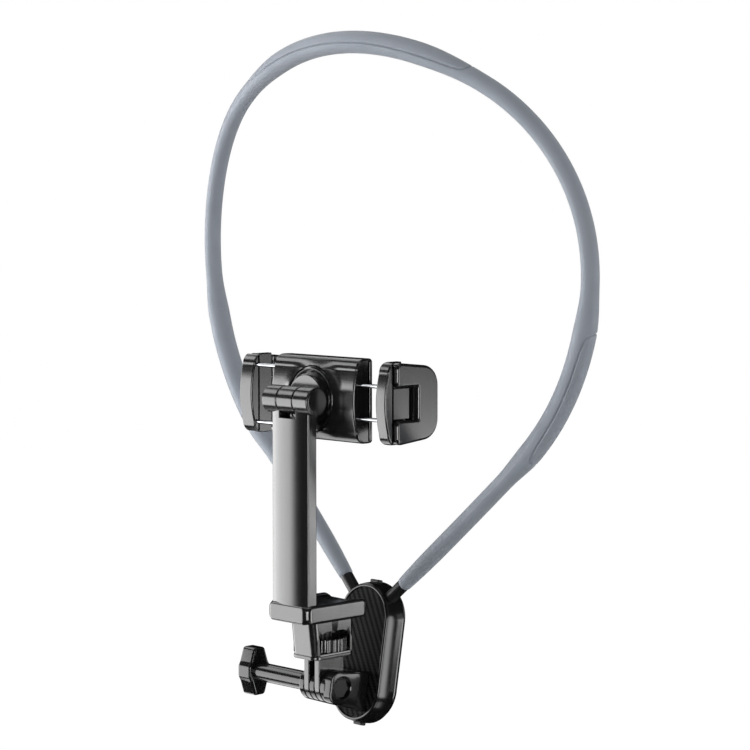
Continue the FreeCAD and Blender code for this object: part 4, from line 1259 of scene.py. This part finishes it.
@dataclass
class Clamp:
    """Swivel head, crowned clamp body, sliding jaws on rods and folding claws, round the barrel."""

    barrel: float = 5.5
    knuckle: float = 8.8
    disc_y: float = 6.0
    disc: float = 10.0
    ring_y: float = 9.0
    ring: float = 12.7
    ring_back: float = 10.6
    body_y: float = 9.3
    body_wide: float = 48.0
    body_tall: float = 33.0
    body_thick: float = 8.6
    body_edge: float = 0.9
    body_rows: int = 161
    crown: float = 1.6
    roll: float = 4.5
    flare: float = 1.2
    flare_wide: float = 5.0
    front_deep: float = 1.5
    well_play: float = 0.5
    well_wall: float = 0.5
    well_draw: float = 0.25
    well_behind: float = 0.25
    cover: float = 1.5
    screw_x: float = 18.5
    screw_z: float = 12.0
    pad_wide: float = 24.0
    pad_tall: float = 27.0
    pad_thick: float = 2.6
    jaw_gap: float = 11.8
    jaw_wide: float = 3.2
    jaw_front_wide: float = 5.6
    jaw_front_deep: float = 3.9
    jaw_set_back: float = 2.2
    jaw_tall: float = 32.0
    jaw_thick: float = 11.1
    left_spread: float = 1.9
    tongue_tall: float = 12.0
    tongue_in: float = 0.1
    hinge_in: float = 1.5
    hinge_back: float = 2.4
    hinge: float = 2.1
    hinge_round: float = 2.05
    claw_thick: float = 4.2
    claw_play: float = 0.3
    claw_forward: float = 9.1
    claw_back: float = 13.4
    claw_corner: float = 8.0
    claw_taper: float = 2.3
    pad_claw: float = 3.55
    claw_pad_tall: float = 29.0
    rod_share: float = 0.78

    @property
    def back(self) -> float:
        """y of the clamp body's back, where the cover starts."""
        return self.body_y + self.body_thick

    @property
    def jaw_low(self) -> float:
        """x of the right jaw's inner side."""
        return self.body_wide / 2 + self.jaw_gap

    @property
    def claw_low(self) -> float:
        """x of the right claw's inner side."""
        return self.jaw_low + self.jaw_wide + self.claw_play

    @property
    def hinge_at(self) -> Tuple[float, float]:
        """x and y of the right claw's hinge."""
        x = self.jaw_low + self.jaw_wide - self.hinge_in
        return x, self.body_y + self.jaw_thick + self.hinge_back

    def head(self) -> Shape:
        """Middle knuckle, web, neck disc and a ring whose face slopes in towards the disc."""
        k = self.knuckle / 2
        knuckle = turned_rod(self.barrel, -k, k, 0.35, Axis.X)
        tall = self.barrel - 0.6
        web = slab(box_line(0, -tall, self.disc_y + 1, tall, 0.3), -k, k, 0.5, Axis.X)
        disc, ring, face = self.disc, self.ring, self.ring_y
        rows = ((NEAR_AXIS, self.disc_y, 0.0), (disc, self.disc_y, 0.7), (disc, face + 0.55, 0.25),
                (ring - 0.75, face - 0.1, 0.3), (ring, face + 0.65, 0.3), (ring, self.ring_back, 0.2),
                (NEAR_AXIS, self.ring_back, 0.0))
        return knuckle.joined(web, spun(rows, Axis.Y, 144))

    def side_line(self, back: float, tall: float, step: float = 0.7) -> Array:
        """Side outline in y and z: flat back, crowned front and rolled top and bottom edges."""
        z, roll = tall / 2, self.roll
        edge = self.body_y + self.crown
        start = math.asin(max(0.0, 1 - (back - edge) / roll))
        turn = np.linspace(start, QUARTER_TURN, 12)
        roll_low = np.stack([edge + roll * (1 - np.sin(turn)), -z + roll * (1 - np.cos(turn))], 1)
        level = np.linspace(roll - z, z - roll, 25)[1:-1]
        crown = np.stack([self.body_y + self.crown * (level / (z - roll)) ** 2, level], 1)
        upside = np.array([1.0, -1.0])
        corner = np.array([[back + 1e-4, roll_low[0, 1]]])
        ring = np.concatenate([corner, roll_low, crown, roll_low[::-1] * upside, corner * upside])
        return refined(ring, step)

    def body(self) -> Shape:
        """Clamp body: the side outline carried across, raised to a flare round the swivel ring.

        The flare moves a front point forwards by h (1 - s)^2, where s runs from 0 at the ring's well to
        1 at the flare's foot; inside the well the front drops behind the ring. Points near the well's two
        edges are drawn onto their circles.

        Returns:
            The body round the barrel's axis.
        """
        half, edge, rows = self.body_wide / 2, self.body_edge, self.body_rows
        line = self.side_line(self.back, self.body_tall, 0.4)
        ends = rolled(-half, half, edge, 5)
        cut = len(ends) // 2
        middle = np.stack([np.zeros(rows - 2), np.linspace(-half + edge, half - edge, rows)[1:-1]], 1)
        shape = carry(line, np.concatenate([ends[:cut], middle, ends[cut:]]), Axis.X)
        points = shape.points.copy()
        away = np.hypot(points[:, 0], points[:, 2])
        limit = self.body_y + self.crown + self.front_deep
        facing = points[:, 1] < limit
        well = self.ring + self.well_play
        drawn = away
        for border in (well - self.well_wall, well):
            drawn = np.where(facing & (np.abs(away - border) < self.well_draw), border, drawn)
        points[:, [0, 2]] *= (drawn / np.maximum(away, 0.1))[:, None]
        share = np.clip((drawn - well) / self.flare_wide, 0, 1)
        flare = self.flare * (1 - share) ** 2 * np.clip((limit - points[:, 1]) / 2.0, 0, 1)
        inside = np.clip((well - drawn) / self.well_wall, 0, 1)
        raised = points[:, 1] - flare * (1 - inside)
        sunk = self.ring_back + self.well_behind
        points[:, 1] = np.where(facing, raised * (1 - inside) + sunk * inside, points[:, 1])
        return Shape(points, shape.faces)

    def screws(self) -> Shape:
        """The lid's four screw heads, each with a round recess."""
        profile = [[1.5, -0.1], [1.5, 0.3], [1.2, 0.55], [0.75, 0.55], [0.7, 0.25], [0.1, 0.25]]
        head = lathe(np.array(profile), Axis.Y, 32)
        heads = [head.moved((x, self.back + self.cover, z)) for x in (-self.screw_x, self.screw_x)
                 for z in (-self.screw_z, self.screw_z)]
        return heads[0].joined(*heads[1:])

    def cushion(self) -> Shape:
        """Ribbed back pad: a slab with a row of level ribs on its face."""
        start = self.back + self.cover
        end = start + self.pad_thick
        half, tall = self.pad_wide / 2, self.pad_tall / 2
        base = slab(box_line(-half, -tall, half, tall, 4.0, steps=8), start, end - 0.7, 0.4, Axis.Y)
        long, thin = half - 2.2, 0.55
        ribs = [slab(box_line(-long, z - thin, long, z + thin, 0.5), start + 1.0, end, 0.4, Axis.Y)
                for z in np.arange(-10.5, 10.6, 2.1)]
        return base.joined(*ribs)

    def jaw(self, spread: float) -> Shape:
        """Right jaw: a crowned block, a wider front wall and the tongue that carries the hinge.

        Args:
            spread: what the front wall reaches past the tongue's face.

        Returns:
            The jaw round the barrel's axis.
        """
        low = self.jaw_low
        face = low + self.jaw_front_wide
        back = self.body_y + self.jaw_thick
        wall = self.body_y + self.jaw_front_deep
        outline = np.maximum(self.side_line(back, self.jaw_tall - 0.06),
                             [self.body_y + self.jaw_set_back, -math.inf])
        block = slab(outline, low + 0.03, low + self.jaw_wide, 0.4, Axis.X)
        front = slab(self.side_line(wall + 0.4, self.jaw_tall), low, face + spread, 0.7, Axis.X)
        (x, y), r = self.hinge_at, self.hinge
        inner, outer, start = low + self.tongue_in, face - self.tongue_in, wall - 0.8
        tongue = soften([(inner, start), (outer, start), (outer, y - 0.5), (x + r, y + 0.2),
                         (x + r, y + r), (x - r, y + r), (x - r, back + 1.2), (inner, back - 0.2)],
                        [0.2, 0.2, 0.5, 0.2, 1.6, self.hinge_round, 0.3, 0.2], steps=8)
        half = self.tongue_tall / 2
        return block.joined(front, slab(tongue, -half, half, 0.3, Axis.Z))

    def claw(self) -> Shape:
        """Right claw: a U-shaped plate with round corners and a rolled lug on each limb."""
        low = self.claw_low
        (x, y), h = self.hinge_at, self.hinge
        front, back = y - self.claw_forward, y + self.claw_back
        half, gap = self.jaw_tall / 2, self.tongue_tall / 2 + 0.3
        deep = y + h + 0.3
        r, rear = self.claw_corner, half - self.claw_taper
        line = soften([(front, -half), (back, -rear), (back, rear), (front, half), (front, gap),
                       (deep, gap), (deep, -gap), (front, -gap)],
                      [2.6, r, r, 2.6, 2.4, 0.4, 0.4, 2.4], steps=10)
        plate = slab(line, low, low + self.claw_thick, 1.2, Axis.X)
        lug = soften([(low + 1, y - h), (low + 1, y + h), (x - h, y + h), (x - h, y - h)],
                     [0.2, 0.2, self.hinge_round, self.hinge_round], steps=8)
        tall = self.claw_pad_tall / 2
        lugs = [slab(lug, z0, z1, 0.3, Axis.Z) for z0, z1 in ((gap, tall), (-tall, -gap))]
        return plate.joined(*lugs)

    def claw_pad(self) -> Shape:
        """Right claw's lining: a soft pad with upright ribs and a lip at its rear edge."""
        low, y = self.claw_low, self.hinge_at[1]
        start, end = y + self.hinge + 0.6, y + self.claw_back
        face = low - self.pad_claw
        tall = self.claw_pad_tall / 2 - 0.6
        rear = tall - self.claw_taper
        line = soften([(start, -tall), (end, -rear), (end, rear), (start, tall)],
                      [0.8, 6.0, 6.0, 0.8], steps=8)
        base = slab(line, face + 0.5, low, 0.4, Axis.X)
        lip_tall, rib_tall, thin = tall - 5.0, tall - 4.5, 0.5
        edge = box_line(end - 1.7, -lip_tall, end - 0.1, lip_tall, 0.7)
        lip = slab(edge, face - 0.9, low, 0.5, Axis.X)
        ribs = [slab(box_line(at - thin, -rib_tall, at + thin, rib_tall, 0.45), face, low, 0.35, Axis.X)
                for at in np.arange(start + 1.2, end - 2.4, 1.7)]
        return base.joined(lip, *ribs)

    def bar(self, node: str) -> Shape:
        """Rod in the place of a node, thinner than the node by a share."""
        low, high = corners_of(node)
        rod = turned_rod(self.rod_share * (high[2] - low[2]) / 2, low[0], high[0], 0.3, Axis.X)
        return rod.moved((low + high) / 2 * np.array([0, 1, 1]))

    def build(self, maker: Maker) -> None:
        """Make the head, the body, the pads and both sides' jaws, rods and claws."""
        at = joint_at("clamp_tilt")
        half, tall, back = self.body_wide / 2, self.body_tall / 2, self.back
        cover = slab(box_line(-half, -tall, half, tall, 1.5), back, back + self.cover, 0.5, Axis.Y)
        maker.piece("swivel", self.head().moved(at), "black_satin", "head", ["swivel_head"])
        maker.piece("clamp_shell", self.body().moved(at), "black_satin", "clamp", ["clamp_body"], 50)
        maker.piece("clamp_lid", cover.moved(at), "black_satin", "clamp", ["clamp_cover"])
        maker.piece("clamp_screws", self.screws().moved(at), "spring_steel", "clamp")
        maker.piece("cushion", self.cushion().moved(at), "grip_rubber", "clamp", ["back_pad"])
        for side, spread in (("right", 0.0), ("left", self.left_spread)):
            jaw, claw = side + "_jaw", side + "_claw"
            for name, shape, slot, body, node in (
                    ("jaw_block_", self.jaw(spread), "black_satin", jaw, "jaw_"),
                    ("claw_plate_", self.claw(), "black_satin", claw, "claw_"),
                    ("claw_lining_", self.claw_pad(), "grip_rubber", claw, "claw_pad_")):
                shape = shape.mirrored() if side == "left" else shape
                maker.piece(name + side, shape.moved(at), slot, body, [node + side])
            for level in ("upper", "lower"):
                node = "rod_%s_%s" % (side, level)
                maker.piece("bar_%s_%s" % (side, level), self.bar(node), "chrome_rod", jaw, [node])


# Stage


@dataclass(frozen=True)
class Board:
    """Rectangle that faces the clamp: a soft box, a lit reflector, or a dark flag of light 0.

    The bearing is in degrees, its azimuth from the front; distance and sides are in metres. A
    reflector's light falls off towards its right edge over a share of its width.
    """

    name: str
    azimuth: float
    elevation: float
    away: float
    wide: float
    tall: float
    light: float = 0.0
    fade: float = 0.001


SOFT_BOXES = (
    Board("key", -46.0, 4.0, 0.95, 0.8, 0.6, 5.0),
    Board("rim", 134.0, 6.0, 1.1, 0.6, 0.6, 3.0),
    Board("top", 10.0, 72.0, 1.1, 0.8, 0.8, 1.2),
)
CARDS = (
    Board("reflector_front", -57.0, -12.0, 1.15, 1.5, 0.85, 4.7, 0.3),
    Board("reflector_upper", -68.0, 35.0, 1.15, 1.2, 0.25, 3.0, 0.2),
    Board("reflector_top", -115.0, 38.0, 1.2, 0.6, 0.4, 1.8, 0.2),
    Board("reflector_lower", -80.0, -50.0, 1.15, 1.2, 0.25, 2.5, 0.2),
    Board("reflector_side", 137.0, -10.5, 1.2, 0.52, 0.18, 4.5, 0.1),
    Board("reflector_claw", 136.0, 0.0, 1.2, 0.5, 0.26, 0.7, 0.2),
    Board("reflector_strip", 106.0, -14.0, 1.2, 0.5, 0.75, 5.5, 0.3),
    Board("reflector_foot", 95.0, -52.0, 1.2, 0.8, 0.35, 2.5, 0.3),
    Board("reflector_camera", 44.0, -4.0, 1.3, 0.6, 0.55, 8.0, 0.1),
    Board("reflector_rear", 180.0, -4.0, 1.3, 0.6, 0.45, 1.6, 0.7),
    Board("reflector_above", 20.0, 84.0, 1.2, 0.7, 0.7, 1.6, 0.7),
    Board("flag_back", -146.0, 0.0, 1.6, 2.0, 3.0),
    Board("flag_camera", 32.0, 0.0, 1.6, 5.4, 5.0),
    Board("flag_left", -72.0, 0.0, 1.7, 3.0, 5.0),
    Board("flag_side", 150.0, 0.0, 1.7, 3.4, 5.0),
    Board("flag_above", 20.0, 89.9, 1.8, 4.0, 4.0),
    Board("flag_below", 20.0, -89.9, 1.5, 6.0, 6.0),
)


@dataclass
class Studio:
    """Pale floor, white surround, soft boxes, cards that gloss sees and the photograph's camera."""

    camera_at: Triple = (705.5, -663.7, -55.4)
    azimuth: float = 46.0
    elevation: float = 4.2
    lens: float = 117.6
    sensor: float = 36.0
    clip: Tuple[float, float] = (0.05, 20.0)
    aim_z: float = -130.0
    surround_dim: float = 0.45
    floor_below: float = 30.0
    floor_reach: float = 6.0
    floor_grey: float = 0.9
    floor_rough: float = 0.9
    floor_glow: float = 1.03
    floor_share: float = 0.95

    @staticmethod
    def bearing(azimuth: float, elevation: float) -> Vector:
        """Unit vector towards an azimuth from the front and an elevation, both in degrees."""
        a, e = math.radians(azimuth), math.radians(elevation)
        return Vector((math.sin(a) * math.cos(e), -math.cos(a) * math.cos(e), math.sin(e)))

    @staticmethod
    def look(item: bpy.types.Object, aim: Vector) -> None:
        """Turn a camera or a light to look back along a bearing."""
        item.rotation_mode = "QUATERNION"
        item.rotation_quaternion = (-aim).to_track_quat("-Z", "Y")

    def camera(self) -> None:
        """Set the camera where the photograph's view was fitted."""
        data = bpy.data.cameras.new("camera")
        data.lens = self.lens
        data.sensor_width = self.sensor
        data.clip_start, data.clip_end = self.clip
        item = placed("camera", data)
        item.location = Vector(self.camera_at) * MM
        self.look(item, self.bearing(self.azimuth, self.elevation))
        bpy.context.scene.camera = item

    def centre(self, board: Board) -> Tuple[Vector, Vector]:
        """A board's bearing from the clamp and its middle."""
        aim = self.bearing(board.azimuth, board.elevation)
        return aim, Vector((0, 0, self.aim_z * MM)) + aim * board.away

    def soft_box(self, board: Board) -> None:
        """Area light whose face has the board's light as radiance; gloss doesn't see it."""
        data = bpy.data.lights.new(board.name, "AREA")
        data.shape = "RECTANGLE"
        data.size, data.size_y = board.wide, board.tall
        data.energy = board.light * math.pi * board.wide * board.tall
        item = placed(board.name, data)
        aim, item.location = self.centre(board)
        self.look(item, aim)
        item.visible_camera = False
        item.visible_glossy = False

    def card(self, board: Board) -> None:
        """Card that only gloss sees; over its fade the light is 3 t^2 - 2 t^3 of the whole."""
        aim, centre = self.centre(board)
        right = Vector((0, 0, 1)).cross(aim).normalized()
        wide, tall = right * (board.wide / 2), aim.cross(right) * (board.tall / 2)
        mesh = bpy.data.meshes.new(board.name)
        mesh.from_pydata([tuple(centre + wide * x + tall * z) for x, z in SQUARE], [], [(0, 1, 2, 3)])
        mesh.uv_layers.new(name="card").data.foreach_set("uv", [0, 0, 1, 0, 1, 1, 0, 1])
        item = placed(board.name, mesh)
        graph = Graph(board.name)
        across = graph.add("SeparateXYZ", {0: graph.add("TexCoord").outputs["UV"]}).outputs["X"]
        settings = {"From Min": 1.0, "From Max": 1.0 - board.fade, "To Min": 0.0, "To Max": board.light}
        level = graph.add("MapRange", {"Value": across}, settings, interpolation_type="SMOOTHSTEP")
        glow = graph.add("Emission", {"Strength": level.outputs["Result"]}, {"Color": WHITE})
        graph.surface(glow.outputs[0])
        mesh.materials.append(graph.material)
        item.visible_camera = False
        item.visible_diffuse = False
        item.visible_transmission = False
        item.visible_shadow = False

    def surround(self) -> None:
        """World that is white to the camera and to gloss, and dimmer as a light."""
        world = bpy.data.worlds.new("surround")
        bpy.context.scene.world = world
        world.use_nodes = True
        tree = world.node_tree
        path = tree.nodes.new("ShaderNodeLightPath")
        seen = tree.nodes.new("ShaderNodeMath")
        seen.operation = "MAXIMUM"
        tree.links.new(path.outputs["Is Camera Ray"], seen.inputs[0])
        tree.links.new(path.outputs["Is Glossy Ray"], seen.inputs[1])
        strength = tree.nodes.new("ShaderNodeMapRange")
        strength.inputs["To Min"].default_value = self.surround_dim
        strength.inputs["To Max"].default_value = 1.0
        tree.links.new(seen.outputs[0], strength.inputs["Value"])
        background = tree.nodes["Background"]
        tree.links.new(strength.outputs["Result"], background.inputs["Strength"])
        background.inputs["Color"].default_value = WHITE

    def floor(self) -> None:
        """Pale floor under the part, lifted towards white for the camera."""
        level = CAD_BOX[0].z - self.floor_below * MM
        mesh = bpy.data.meshes.new("floor")
        reach, grey = self.floor_reach, self.floor_grey
        mesh.from_pydata([(x * reach, y * reach, level) for x, y in SQUARE], [], [(0, 1, 2, 3)])
        item = placed("floor", mesh)
        item.visible_glossy = False
        graph = Graph("floor")
        graph.fix(Base_Color=(grey, grey, grey, 1.0), Roughness=self.floor_rough)
        glow = graph.add("Emission", settings={"Color": WHITE, "Strength": self.floor_glow})
        seen = graph.add("LightPath").outputs["Is Camera Ray"]
        share = graph.add("Math", {0: seen}, {1: self.floor_share}, operation="MULTIPLY")
        mix = graph.add("MixShader", {0: share.outputs[0], 1: graph.shader.outputs[0],
                                      2: glow.outputs[0]})
        graph.surface(mix.outputs[0])
        mesh.materials.append(graph.material)

    def build(self) -> None:
        """Set the camera, the surround, the floor, the lights, the cards and the plain view."""
        self.camera()
        self.surround()
        self.floor()
        for board in SOFT_BOXES:
            self.soft_box(board)
        for board in CARDS:
            self.card(board)
        bpy.context.scene.view_settings.view_transform = "Standard"


def write_sizes() -> None:
    """Bring the scene's evaluated state up to date."""
    bpy.context.view_layer.update()


def main() -> None:
    """Build the stage, the finishes and each sub-assembly in order."""
    logging.basicConfig(level=logging.INFO, format="%(message)s")
    Studio().build()
    normal = mount("chest_face")[1]
    lean = math.degrees(math.atan2(-normal[2], normal[1]))
    finishes = Finishes(lean)
    finishes.build()
    finishes.dress_frame()
    maker = Maker(finishes)
    for assembly in (NeckLoop(lean=lean), Pod(), ThumbScrew(), Adapter(), Arm(), Clamp()):
        assembly.build(maker)
    write_sizes()


if __name__ == "__main__":
    main()
